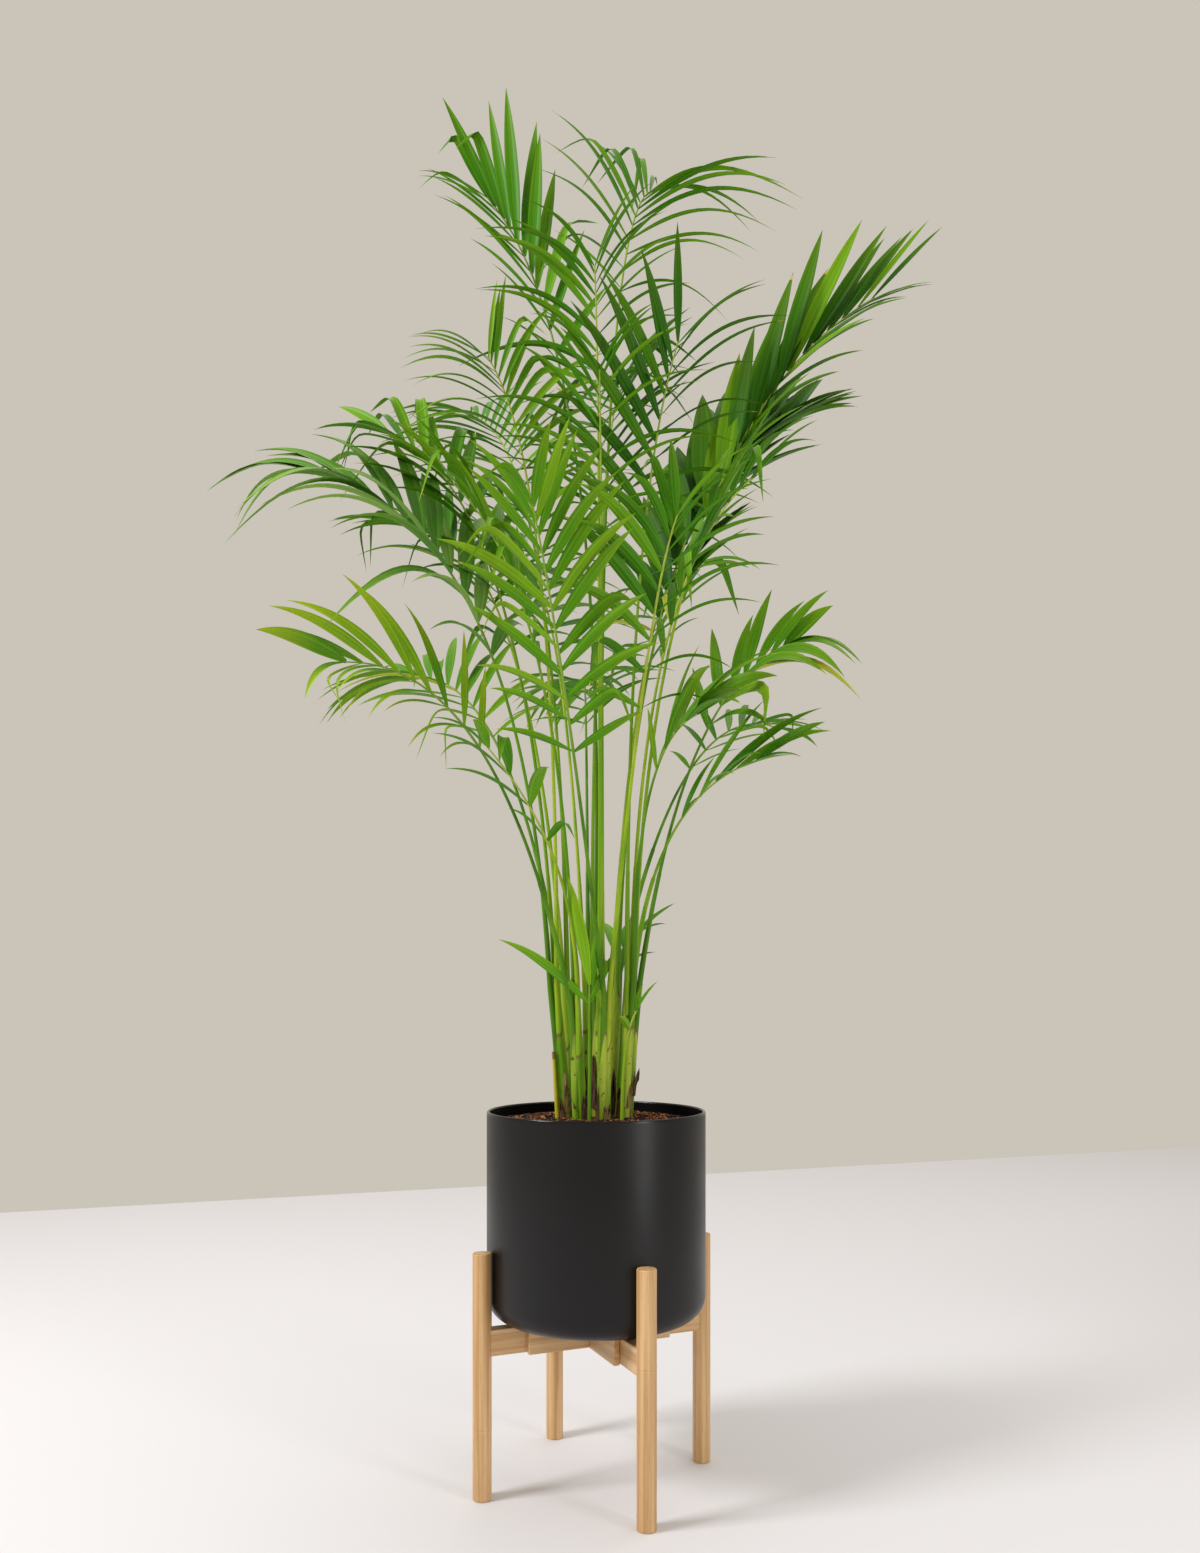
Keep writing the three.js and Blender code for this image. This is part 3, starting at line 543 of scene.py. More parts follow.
def smooth_step(value, first, last):
    """Runs from 0 to 1 between first and last, level at both: 3x^2 - 2x^3."""
    x = np.clip((value - first) / (last - first), 0, 1)
    return x * x * (3 - 2 * x)


def tube(centres, radius, around, flat=1.0):
    """Rings of a given radius round a line of centres, square to it. flat narrows them front to back."""
    way = unit(np.gradient(centres, axis=-2))
    across = unit(np.cross(way, np.array([0.13, 1.0, 0.05])))
    upper = np.cross(way, across)
    turn = np.arange(around) * 2 * np.pi / around
    circle = (
        np.cos(turn)[:, None] * across[..., None, :]
        + flat * np.sin(turn)[:, None] * upper[..., None, :]
    )
    return centres[..., None, :] + np.asarray(radius)[..., None, None] * circle


def sheath_colour(tree, place):
    """Living sheath: pale yellow-green in upright patches with deep green veins, scarred with brown
    corky marks where older sheaths tore away, most near the soil."""
    long_way = put(tree, "Mapping", {0: place, "Scale": (1, 1, 0.06)}).outputs[0]
    patches = put(tree, "TexNoise", {"Vector": long_way, "Scale": 1000 / SHEATH_PATCH, "Detail": 3.0})
    veins = put(tree, "TexNoise", {"Vector": long_way, "Scale": 1000 / SHEATH_VEIN, "Detail": 2.0})
    tone = put(tree, "MapRange", {0: patches.outputs[0], 1: 0.42, 2: 0.58})
    base = put(tree, "Mix", {0: tone.outputs[0], 6: srgb("#5c8c08"), 7: srgb("#a8ba3c")}, data_type="RGBA")
    streak = put(tree, "MapRange", {0: veins.outputs[0], 1: 0.5, 2: 0.75, 4: 0.4})
    lined = put(tree, "Mix", {0: streak.outputs[0], 6: base.outputs[2], 7: srgb("#3c6c0a")}, data_type="RGBA")
    scar_way = put(tree, "Mapping", {0: place, "Scale": (1, 1, 0.6)}).outputs[0]
    ragged = {"Vector": scar_way, "Scale": 1000 / SCAR, "Detail": 5.0, "Roughness": 0.7}
    scars = put(tree, "TexNoise", ragged)
    height = put(tree, "SeparateXYZ", {0: place}).outputs[2]
    lowest, highest = (level / 1000 for level in SCAR_HEIGHTS)
    near_soil = put(tree, "MapRange", {0: height, 1: lowest, 2: highest, 3: 0.55, 4: 0.72})
    scarred = put(tree, "Math", {0: scars.outputs[0], 1: near_soil.outputs[0]}, operation="SUBTRACT")
    scar = put(tree, "MapRange", {0: scarred.outputs[0], 1: 0.0, 2: 0.03, 4: 0.92})
    return put(tree, "Mix", {0: scar.outputs[0], 6: lined.outputs[2], 7: srgb("#4a3620")}, data_type="RGBA")


def stalk_finish(name, dark, light, upper):
    """Living stalk: smooth, slightly waxy green with long pale veins, yellower between the leaflets.
    Below the parting, where the surface's v is under 0, it is wrapped in its sheath, whose edge has
    dried to brown paper."""
    made, tree, shader = material(name, light, 0.45, ior=1.42, Specular_IOR_Level=0.25)
    place = put(tree, "TexCoord")
    along = put(tree, "SeparateXYZ", {0: place.outputs["UV"]}).outputs[1]
    long_way = put(tree, "Mapping", {0: place.outputs["Object"], "Scale": (1, 1, 0.05)}).outputs[0]
    veins = put(tree, "TexNoise", {"Vector": long_way, "Scale": 1000 / STALK_VEIN, "Detail": 2.0})
    mottle = put(tree, "TexNoise", {"Vector": long_way, "Scale": 1000 / STALK_MOTTLE, "Detail": 2.0})
    tone = put(tree, "MapRange", {0: mottle.outputs[0], 1: 0.35, 2: 0.65})
    low = put(tree, "Mix", {0: tone.outputs[0], 6: srgb(dark), 7: srgb(light)}, data_type="RGBA")
    wrapped = put(tree, "MapRange", {0: along, 1: -0.035, 2: -0.005, 3: 1.0, 4: 0.0})
    sheath = sheath_colour(tree, place.outputs["Object"]).outputs[2]
    green = put(tree, "Mix", {0: wrapped.outputs[0], 6: low.outputs[2], 7: sheath}, data_type="RGBA")
    off_edge = put(tree, "Math", {0: along, 1: 0.02}, operation="ADD").outputs[0]
    off_edge = put(tree, "Math", {0: off_edge}, operation="ABSOLUTE").outputs[0]
    papery = put(tree, "MapRange", {0: off_edge, 1: 0.004, 2: 0.011, 3: 0.85, 4: 0.0}).outputs[0]
    edged = put(tree, "Mix", {0: papery, 6: green.outputs[2], 7: srgb("#6b5230")}, data_type="RGBA")
    leafy = put(tree, "MapRange", {0: along, 1: 0.8, 2: 1.15})
    both = put(tree, "Mix", {0: leafy.outputs[0], 6: edged.outputs[2], 7: srgb(upper)}, data_type="RGBA")
    tree.links.new(both.outputs[2], shader.inputs["Base Color"])
    bump = put(tree, "Bump", {"Height": veins.outputs[0], "Strength": 0.25, "Distance": 0.0003})
    tree.links.new(bump.outputs[0], shader.inputs["Normal"])
    return made


stalk_skins = [
    stalk_finish("living_stalk_mid_green", "#548a06", "#7ca21c", "#8ea83a"),
    stalk_finish("living_stalk_deep_green", "#3c6c06", "#5c8c12", "#7c9c34"),
    stalk_finish("living_stalk_yellow_green", "#6f9c0a", "#a2b62a", "#a4b244"),
]

# Each sheath laps over itself in a low step along the cane. Its upper edge slants, and rises to a
# tongue on one side, a different one for each frond.
height = CANE_STATIONS
turn = 2 * np.pi * np.arange(CANE_SIDES) / CANE_SIDES
for name in CANES:
    foot, top = cane_axis(name)
    sheaths, surface, finish = [], [], []
    for parting, frond in zip(PARTINGS, (frond for frond in fronds if frond["from"] == name)):
        parting += PARTING_WOBBLE * np.sin(3 * frond["number"])
        rib_share = np.clip(height - 1, 0, None) * (top - foot)[2] / (frond["height"] - top[2])
        own_stalk = rib_line(frond, rib_share)[0] - frond_foot(frond)
        aside = (SHEATH_ASIDE + (1 - SHEATH_ASIDE) * smooth_step(height, 0.5, 1.0))[:, None]
        centre = foot + (top - foot) * np.minimum(height, 1)[:, None] + aside * (frond_foot(frond) - top)
        centre = centre + own_stalk
        slim = smooth_step(height, parting - PARTING_LENGTH, 1.05)
        stalk = STALK_FOOT_RADIUS - STALK_SLIMMING * smooth_step(height, 1.0, 1.5)
        radius = SHEATH_RADIUS * (1 - SHEATH_WAIST * np.sin(np.pi * np.minimum(height, 1)))
        radius = radius + (stalk - radius) * slim
        rings = tube(centre, radius, CANE_SIDES)
        lap = np.roll(np.linspace(SHEATH_LAP, 0, CANE_SIDES), 5 * frond["number"])[:, None]
        rings = rings + (rings - centre[:, None]) * lap * (1 - slim)[:, None, None]
        tongue = SHEATH_TONGUE * (1 + np.cos(turn - 2.1 * frond["number"])) ** 2 / 2
        v = 0.5 * (height[:, None] - parting - tongue)
        sheaths.append(rings)
        surface.append(np.stack(np.broadcast_arrays(turn / (2 * np.pi), v), -1))
        finish.append(np.full(len(height) - 1, frond["number"] % len(stalk_skins)))
    sheaths, surface, finish = in_frame(np.stack(sheaths)), np.stack(surface), np.stack(finish)
    cane = skin("sheathed_" + name, sheaths, stalk_skins, surface, finish, sharp=60)
    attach(cane, "root")
    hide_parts(name)


# Old sheaths
# Torn brown remnants of sheaths that have died, curved round the canes' feet, and one cut yellow stub.
# They are ragged on top, and stand a little off the living sheaths.
REMNANTS = [
    # cane, the bearing they face, width of the arc, height, how far up they start
    ("cane_front", 215, 50, 30, 0), ("cane_front", 300, 50, 14, 0),
    ("cane_front_left", 310, 60, 26, 0), ("cane_left", 250, 40, 18, 0),
    ("cane_left", 290, 50, 36, 6), ("cane_centre", 225, 60, 50, 10),
    ("cane_centre", 300, 50, 50, 26), ("cane_right", 285, 60, 40, 0),
    ("cane_right", 335, 50, 26, 24), ("cane_front_right", 240, 45, 30, 0),
    ("cane_front_right", 320, 50, 22, 12), ("cane_back", 245, 60, 46, 0),
    ("cane_back_right", 60, 100, 52, 0), ("cane_back", 90, 110, 60, 0),
    ("cane_back_left", 150, 110, 44, 0), ("cane_back_right", 270, 50, 42, 0),
]
REMNANT_RADIUS = 9.3
REMNANT_THICKNESS = 0.6
REMNANT_NARROWING = 0.55
REMNANT_FLARE = 1.6
FINE_TEETH = 0.22
BROAD_TEETH = 0.16
REMNANT_RINGS = 9
ARC_POINTS = 14
DRY_FIBRE = 1.4286
STUB_FROM = [-2, 0, 0]
STUB_BEARING = 215
STUB_DISTANCE = 9
STUB_LEAN = 6
STUB_HEIGHT = 78
STUB_RADIUS = 2.9
STUB_TIP_RADIUS = 1.8
STUB_DRIED_AT = 0.9
STUB_RINGS = 10
STUB_SIDES = 14


def dry_sheath(name, dark, light):
    """Dead leaf sheath: papery and fibrous, streaked upright in two browns."""
    made, tree, shader = material(name, light, 0.85, ior=1.4)
    place = put(tree, "TexCoord").outputs["Object"]
    long_way = put(tree, "Mapping", {0: place, "Scale": (1, 1, 0.1)}).outputs[0]
    fibres = put(tree, "TexNoise", {"Vector": long_way, "Scale": 1000 / DRY_FIBRE, "Detail": 3.0})
    tone = put(tree, "MapRange", {0: fibres.outputs[0], 1: 0.38, 2: 0.62})
    blend = put(tree, "Mix", {0: tone.outputs[0], 6: srgb(dark), 7: srgb(light)}, data_type="RGBA")
    tree.links.new(blend.outputs[2], shader.inputs["Base Color"])
    bump = put(tree, "Bump", {"Height": fibres.outputs[0], "Strength": 0.6, "Distance": 0.0006})
    tree.links.new(bump.outputs[0], shader.inputs["Normal"])
    return made


dry_sheaths = [
    dry_sheath("dead_sheath_dark_brown", "#301c0e", "#664a30"),
    dry_sheath("dead_sheath_straw_brown", "#5c4524", "#a08a58"),
]
share = np.linspace(0, 1, REMNANT_RINGS)[:, None]
point = np.arange(ARC_POINTS)
flaps = []
for i, (name, bearing, wide, tall, start) in enumerate(REMNANTS):
    foot, top = cane_axis(name)
    turn = bearing + np.linspace(-wide / 2, wide / 2, ARC_POINTS) * (1 - REMNANT_NARROWING * share**2)
    teeth = FINE_TEETH * np.sin(7.1 * point + i) + BROAD_TEETH * np.sin(2.3 * point + 2 * i)
    rise = start + tall * share * (1 + teeth * share)
    axis = foot + (top - foot) * (rise / (top - foot)[2])[..., None]
    radius = REMNANT_RADIUS + (0.6 * i) % 1 + REMNANT_FLARE * share**3 * (1 + np.sin(i))
    outer = axis + outwards(turn) * radius[..., None]
    inner = axis + outwards(turn) * (radius - REMNANT_THICKNESS)[..., None]
    flaps.append(np.concatenate([outer, inner[:, ::-1]], axis=1))
shade = np.repeat((np.arange(len(REMNANTS)) % 3 == 1)[:, None], REMNANT_RINGS - 1, axis=1).astype(int)
remnants = skin("dead_sheath_remnants", in_frame(np.stack(flaps)), dry_sheaths, face_material=shade, sharp=50)
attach(remnants, "root")
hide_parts("cane_front")

# The stub is what is left of a stalk that was cut off: yellow, dried brown at its end.
yellow_stalk, _, _ = material("yellowed_stalk", "#b9b41c", 0.55, ior=1.42)
foot, _ = cane_axis("cane_left")
share = np.linspace(0, 1, STUB_RINGS)
aside = outwards(STUB_BEARING) * (STUB_DISTANCE + STUB_LEAN * share[:, None])
line = foot + STUB_FROM + aside + UP * STUB_HEIGHT * share[:, None]
rings = tube(line, STUB_RADIUS + (STUB_TIP_RADIUS - STUB_RADIUS) * share, STUB_SIDES)
shade = np.where(share[1:] > STUB_DRIED_AT, 1, 0)[None]
finishes = [yellow_stalk, dry_sheaths[1]]
stub = skin("cut_stalk_stub", in_frame(rings)[None], finishes, face_material=shade, sharp=60)
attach(stub, "root")
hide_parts("cane_left")


# Stalks and ribs
# Each frond's slim stalk leaves its sheath and carries on as the rib that the leaflets grow from. It
# is a little flat all along, green below, and turns yellower and thinner between the leaflets.
STALK_RADIUS = 2.5
SHOOT_RADIUS = 2.2
RIB_TIP_RADIUS = 0.8
RIB_TAPER = 0.8
RIB_FLATNESS = 0.88
RIB_STATIONS = 44
RIB_SIDES = 10


def rib_radius(frond, share):
    """The stalk's radius narrows to the tip's with the share of the way to the power of the taper."""
    thick = SHOOT_RADIUS if frond["from"] in SHOOTS else STALK_RADIUS
    return thick + (RIB_TIP_RADIUS - thick) * share**RIB_TAPER


share = np.linspace(0, 1, RIB_STATIONS)
for frond in fronds:
    centres, _ = rib_line(frond, share)
    rings = tube(centres, rib_radius(frond, share), RIB_SIDES, flat=RIB_FLATNESS)
    along = (share / frond["bare"])[:, None]
    uv = np.stack(np.broadcast_arrays(np.arange(RIB_SIDES) / RIB_SIDES, along), -1)
    finish = stalk_skins[frond["number"] % len(stalk_skins)]
    name = f"frond_{frond['number']:02d}"
    rib = skin(name + "_rib", in_frame(rings)[None], [finish], uv=uv)
    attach(rib, "root")
    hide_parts(name)


# Leaflets
# Narrow pointed blades in pairs along the rib, folded in a shallow V at their middle vein. The lowest
# stand out widest, and the last pair forks at the tip. Some are bent over, and a few tips have dried.
PAIR_CROWDING = 0.92
PLACE_WOBBLE = 0.006
RIB_SEAT = 0.4
ROOT_LENGTH = 5.0
LENGTH_POINTS = 40
LOWEST_ANGLE = 62.0
HIGHEST_ANGLE = 26.0
LEAST_ANGLE = 22.0
ANGLE_WOBBLE = 6.0
LEAFLET_LIFT = 10.0
LIFT_WOBBLE = 9.0
LEAFLET_TILT = 22.0
TILT_WOBBLE = 16.0
SKYWARD_STEADYING = 0.7
TWIST_WOBBLE = 0.35
DROOP_WOBBLE = 0.5
BEND_ANGLE = 100.0
BEND_ANGLE_WOBBLE = 30.0
BEND_AT = 0.66
BEND_AT_WOBBLE = 0.12
BEND_SOFTNESS = 0.05
SHORTEST_SHARE = 0.66
FULLNESS_POWER = 0.8
LENGTH_WOBBLE = 0.08
LEAFLET_WIDTH = 0.098
WIDEST_AT = 0.4
ROOT_BREADTH = 0.26
POINT_POWER = 2.1
POINT_HALF_WIDTH = 0.12
BLADE_THICKNESS = 0.7
BLADE_FOLD = 0.3
BLADE_STATIONS = np.concatenate([[0, 0.04], np.linspace(0.1, 0.9, 13), [0.95, 0.98, 1]])
# Seven points of the V from edge to edge, and the keel under its middle.
BLADE_ACROSS = np.array([1, 0.7, 0.35, 0, -0.35, -0.7, -1, 0])
BLADE_KEEL = np.array([0, 0, 0, 0, 0, 0, 0, BLADE_THICKNESS])
BLADE_BREADTH = 13.5
VEIN_SPACING = 2.25
SPOT_GROUP = 111.1
SPOT_SPACING = 3.846
LIGHT_SHARE = 0.35
YELLOWED_SHARE = 0.14
DRIED_SHARE = 0.05
LOOK_COLUMNS = ["green", "more", "tip", "low", -1, 1]
USUAL_SIDE = [1.0, 1.0, 1.0, 1.0, 0.3, 1.0, 0.1]
USUAL_LOOK = ["mid", 1.3, 1.3, 1.0, USUAL_SIDE, USUAL_SIDE]
LOOKS = {
    # Each frond's green, times its pairs of leaflets, and how much broader the pair at the tip and the
    # lowest pair are. Then for the leaflets on the one side of the rib and on the other: breadth,
    # length, angle from the rib at the lowest and at the tip, all over the usual, how far their faces
    # are turned to the sky, times the droop, and the share that are bent over. The fronds without a
    # row have the usual look.
    1: ["mid", 1.0, 1.0, 1.3, [0.9, 1.0, 0.65, 0.2, 0, 0.4, 0.1], [0.45, 0.75, 0.45, 1.0, 0.9, 2.0, 0.1]],
    2: ["mid", 1.2, 1.0, 1.0, [0.65, 0.9, 0.8, 1.0, 0.5, 2.5, 0.1], [0.6, 0.9, 0.8, 1.0, 0.9, 1.8, 0]],
    3: ["mid", 1.1, 1.0, 1.0, [0.5, 1.0, 1.1, 1.3, 0.95, 1.1, 0], [0.55, 1.0, 0.7, 1.3, 0.5, 0.7, 0.35]],
    4: ["bright", 0.9, 1.7, 1.0, [1.7, 0.95, 0.9, 0.9, 0, 1.8, 0.1], [1.45, 0.85, 0.7, 0.8, 0.1, 0.6, 0]],
    5: ["lit", 1.25, 1.0, 3.4, [0.6, 0.7, 0.6, 1.3, 0.2, 1.5, 0], [0.5, 1.1, 0.12, 0.4, 0, 0.3, 0]],
    6: ["mid", 0.85, 1.3, 0.8, [1.2, 0.8, 0.6, 0.4, 0.2, 0.8, 0], [1.3, 1.15, 0.6, 0.4, 0, 0.9, 0]],
    7: ["mid", 0.9, 1.2, 1.0, [1.1, 0.75, 0.9, 0.9, 0.3, 0.6, 0.1], [1.1, 0.75, 0.9, 0.9, 0.3, 0.6, 0.1]],
    9: ["deep", 1.4, 1.1, 1.6, [1.4, 1.0, 0.5, 1.0, 0.2, 1.0, 0], [1.6, 1.0, 0.5, 1.0, 0.2, 1.0, 0.1]],
    12: ["deep", 1.3, 1.1, 1.0, [0.9, 1.0, 1.0, 1.0, 0.5, 1.2, 0.1], [0.9, 1.0, 1.0, 1.0, 0.5, 1.2, 0.1]],
    13: ["bright", 1.2, 1.4, 1.0, [1.0, 1.0, 1.0, 1.0, 0.3, 1.0, 0.1], [1.0, 1.0, 1.0, 1.0, 0.5, 1.0, 0.2]],
    15: ["mid", 1.5, 1.2, 1.0, [0.7, 1.0, 1.0, 1.0, 0.6, 1.5, 0.1], [0.7, 1.0, 1.0, 1.0, 0.6, 1.5, 0.2]],
    # Frond 16 takes the green with painted sheen and painted light.
    16: ["painted_sheen_and_light", 1.1, 1.2, 1.2, [1.3, 1.0, 0.7, 0.8, 0.3, 1.0, 0.1], [1.2, 1.0, 0.7, 1.0, 0.4, 1.2, 0]],
    17: ["bright", 1.7, 1.0, 1.0, [0.7, 0.9, 0.9, 1.4, 0.2, 1.8, 0.2], [0.65, 0.9, 0.9, 1.4, 0.4, 2.4, 0.1]],
    18: ["mid", 1.1, 1.2, 1.1, [1.15, 1.0, 0.8, 0.8, 0, 0.3, 0.85], [1.0, 1.0, 0.8, 1.0, 0.4, 1.3, 0.3]],
    19: ["fresh", 0.9, 1.9, 1.0, [0.95, 0.9, 0.65, 0.9, 0, 0.5, 0], [0.8, 0.65, 0.85, 1.0, 0.3, 0.5, 0.2]],
    20: ["mid", 0.8, 1.3, 1.0, [1.5, 0.9, 0.7, 0.8, 0.1, 0.8, 0.3], [1.5, 0.9, 0.7, 0.8, 0.1, 0.8, 0.3]],
    21: ["bright", 1.5, 1.2, 1.0, [0.8, 1.0, 1.0, 1.0, 0.3, 1.8, 0.1], [0.75, 1.0, 1.0, 1.0, 0.5, 1.8, 0.1]],
    22: ["bright", 1.15, 1.4, 1.0, [1.1, 1.0, 0.95, 0.9, 0, 1.0, 0.1], [1.1, 1.0, 0.95, 0.9, 0, 1.0, 0.05]],
    23: ["mid", 1.0, 1.2, 1.1, [0.95, 1.0, 1.0, 1.0, 0.1, 2.0, 0.2], [0.75, 1.0, 1.0, 1.0, 0.8, 1.5, 0]],
    24: ["mid", 1.2, 1.0, 1.0, [0.6, 0.9, 1.0, 1.0, 0.7, 2.0, 0.1], [0.6, 0.9, 1.0, 1.0, 0.7, 2.0, 0.1]],
    25: ["bright", 0.8, 2.2, 0.8, [1.3, 1.3, 0.6, 0.8, 0, 1.4, 0], [1.4, 1.2, 0.6, 0.8, 0, 1.2, 0]],
    26: ["mid", 1.1, 1.1, 1.0, [0.9, 1.0, 1.0, 1.0, 0.6, 1.5, 0.1], [0.9, 1.0, 1.0, 1.0, 0.6, 1.5, 0.1]],
    27: ["deep", 1.1, 1.1, 1.1, [0.8, 1.0, 0.75, 0.9, 0.1, 1.2, 0], [0.55, 1.0, 1.0, 1.2, 0.9, 2.4, 0]],
    28: ["bright", 1.0, 1.5, 1.0, [0.9, 1.2, 0.85, 0.45, 0, 1.0, 0], [1.4, 0.7, 0.4, 0.6, 0, 0.6, 0]],
    29: ["bright", 1.0, 1.0, 1.0, [2.2, 1.1, 1.0, 1.0, 0, 1.0, 0], [2.2, 1.1, 1.0, 1.0, 0, 1.0, 0]],
    30: ["mid", 1.0, 1.0, 1.0, [1.8, 1.0, 0.7, 0.8, 0, 1.5, 0], [1.8, 1.0, 0.7, 0.8, 0, 1.5, 0]],
}
# How far some blades are turned further about their ribs, in degrees.
TURNED = {4: 12, 6: 20, 17: -45, 19: -32, 25: 30}
# The leaflets of a frond that are turning yellow, counted from its foot, two to a pair.
TURNING = {4: [6], 26: [3], 13: [9], 8: [5]}
TIP_GREEN = "#a8c01c"
GREENS = {
    # the veins' and the blade's colour, for most leaflets and then for the lighter ones, and how far
    # their tips have turned yellow-green
    "deep": (("#1f5002", "#377204"), ("#336a04", "#52880e"), 0.1),
    "lit": (("#245802", "#3f7c04"), ("#508806", "#74a40e"), 0.15),
    "mid": (("#306a02", "#4f9006"), ("#4a8606", "#70a414"), 0.15),
    # Frond 16's green is paler and greyer than a leaf's own: a painted sheen, and painted light that lifts
    # its leaflets out of the shade they hang in.
    "painted_sheen_and_light": (("#467c1a", "#669a3c"), ("#66982f", "#8eb458"), 0.2),
    "bright": (("#3c7804", "#629a0a"), ("#568c0a", "#82ac1a"), 0.25),
    "fresh": (("#3f7a06", "#66980e"), ("#5c8e0a", "#8ab218"), 0.8),
}


def jitter(a, b, c):
    """A number from -1 to 1 that is the same for the same three seeds."""
    wave = np.sin(a * 12.9898 + b * 78.233 + c * 37.719) * 43758.5453
    return 2 * (wave - np.floor(wave)) - 1


def leaf_finish(name, dark, light, yellowing, spotted=0.66):
    """Living palm leaf: a thin satin cuticle over parallel veins 2 mm apart. It turns yellow-green
    towards its tip. Brown spots 1 to 2 mm wide lie in loose groups, where a slow pattern rises over the
    value spotted."""
    made, tree, shader = material(name, light, 0.5, ior=1.42, Specular_IOR_Level=0.2)
    place = put(tree, "TexCoord")
    long_way = put(tree, "Mapping", {0: place.outputs["UV"], "Scale": (1, 0.05, 1)}).outputs[0]
    veins_across = BLADE_BREADTH / VEIN_SPACING
    veins = put(tree, "TexNoise", {"Vector": long_way, "Scale": veins_across, "Detail": 1.5})
    tone = put(tree, "MapRange", {0: veins.outputs[0], 1: 0.36, 2: 0.64})
    green = put(tree, "Mix", {0: tone.outputs[0], 6: srgb(dark), 7: srgb(light)}, data_type="RGBA")
    along = put(tree, "SeparateXYZ", {0: place.outputs["UV"]}).outputs[1]
    tipward = put(tree, "MapRange", {0: along, 1: 0.35, 2: 1.0, 4: yellowing}).outputs[0]
    blend = put(tree, "Mix", {0: tipward, 6: green.outputs[2], 7: srgb(TIP_GREEN)}, data_type="RGBA")
    on_leaf = place.outputs["Object"]
    groups = put(tree, "TexNoise", {"Vector": on_leaf, "Scale": 1000 / SPOT_GROUP, "Detail": 0.0})
    dots = put(tree, "TexNoise", {"Vector": on_leaf, "Scale": 1000 / SPOT_SPACING, "Detail": 1.0})
    near = put(tree, "MapRange", {0: groups.outputs[0], 1: spotted, 2: spotted + 0.05})
    dot = put(tree, "MapRange", {0: dots.outputs[0], 1: 0.73, 2: 0.76})
    spot = put(tree, "Math", {0: near.outputs[0], 1: dot.outputs[0]}, operation="MULTIPLY")
    final = put(tree, "Mix", {0: spot.outputs[0], 6: blend.outputs[2], 7: srgb("#5a3c14")}, data_type="RGBA")
    tree.links.new(final.outputs[2], shader.inputs["Base Color"])
    bump = put(tree, "Bump", {"Height": veins.outputs[0], "Strength": 0.2, "Distance": 0.0004})
    tree.links.new(bump.outputs[0], shader.inputs["Normal"])
    return made


def blade_frame(frond, share):
    """Across and out of the blade at shares of the rib. The blade is turned about the rib by the roll,
    which grows from none at the foot to full where the leaflets start."""
    _, way = rib_line(frond, share)
    flat = outwards(frond["bearing"] + 90)
    upper = unit(np.cross(way, flat))
    roll = frond["roll"] + TURNED.get(frond["number"], 0)
    roll = np.radians(roll * np.minimum(share / frond["bare"], 1))[:, None]
    return flat * np.cos(roll) + upper * np.sin(roll), upper * np.cos(roll) - flat * np.sin(roll)


def blades(root, way, face, length, width, droop, bend_at, bend, twist):
    """Rings of eight points for pointed blades. The middle line is root + way L s + sink (0.4 s^2 +
    0.6 s^4). Past the share bend_at it turns over, by the angle bend, in the upright plane of its way.
    The half width is the breadth function of s, and each ring is a shallow V with one keel below,
    turned about the line by twist s."""
    s = BLADE_STATIONS[None, :, None]
    length, width, droop, bend_at, bend, twist = (
        np.broadcast_to(value, len(root))[:, None, None]
        for value in (length, width, droop, bend_at, bend, twist)
    )
    sink = (UP * -1 + way * way[:, 2:])[:, None] * droop * length
    level = unit(way * [1, 1, 0])[:, None]
    elevation = np.arcsin(way[:, 2])[:, None, None] - bend
    folded = level * np.cos(elevation) + UP * np.sin(elevation)
    past = BEND_SOFTNESS * np.logaddexp(0, (s - bend_at) / BEND_SOFTNESS)
    line = way[:, None] * (s - past) + folded * past
    centre = root[:, None] + length * line + sink * (0.4 * s**2 + 0.6 * s**4)
    heading = unit(np.gradient(centre, BLADE_STATIONS, axis=1))
    side = unit(np.cross(face, way))[:, None]
    side = unit(side - heading * (side * heading).sum(-1, keepdims=True))
    normal = np.cross(heading, side)
    turn = twist * s
    side, normal = side * np.cos(turn) + normal * np.sin(turn), normal * np.cos(turn) - side * np.sin(turn)
    below = ROOT_BREADTH + (1 - ROOT_BREADTH) * np.sin(np.pi / 2 * np.minimum(s / WIDEST_AT, 1))
    above = 1 - np.clip((s - WIDEST_AT) / (1 - WIDEST_AT), 0, 1) ** POINT_POWER
    half = np.maximum(width / 2 * np.minimum(below, above), POINT_HALF_WIDTH)[:, :, None]
    across = BLADE_ACROSS[:, None]
    rise = BLADE_FOLD * np.abs(across) ** 1.3 * half - BLADE_KEEL[:, None] * np.minimum(half / 3, 1)
    return centre[:, :, None] + half * across * side[:, :, None] + rise * normal[:, :, None]


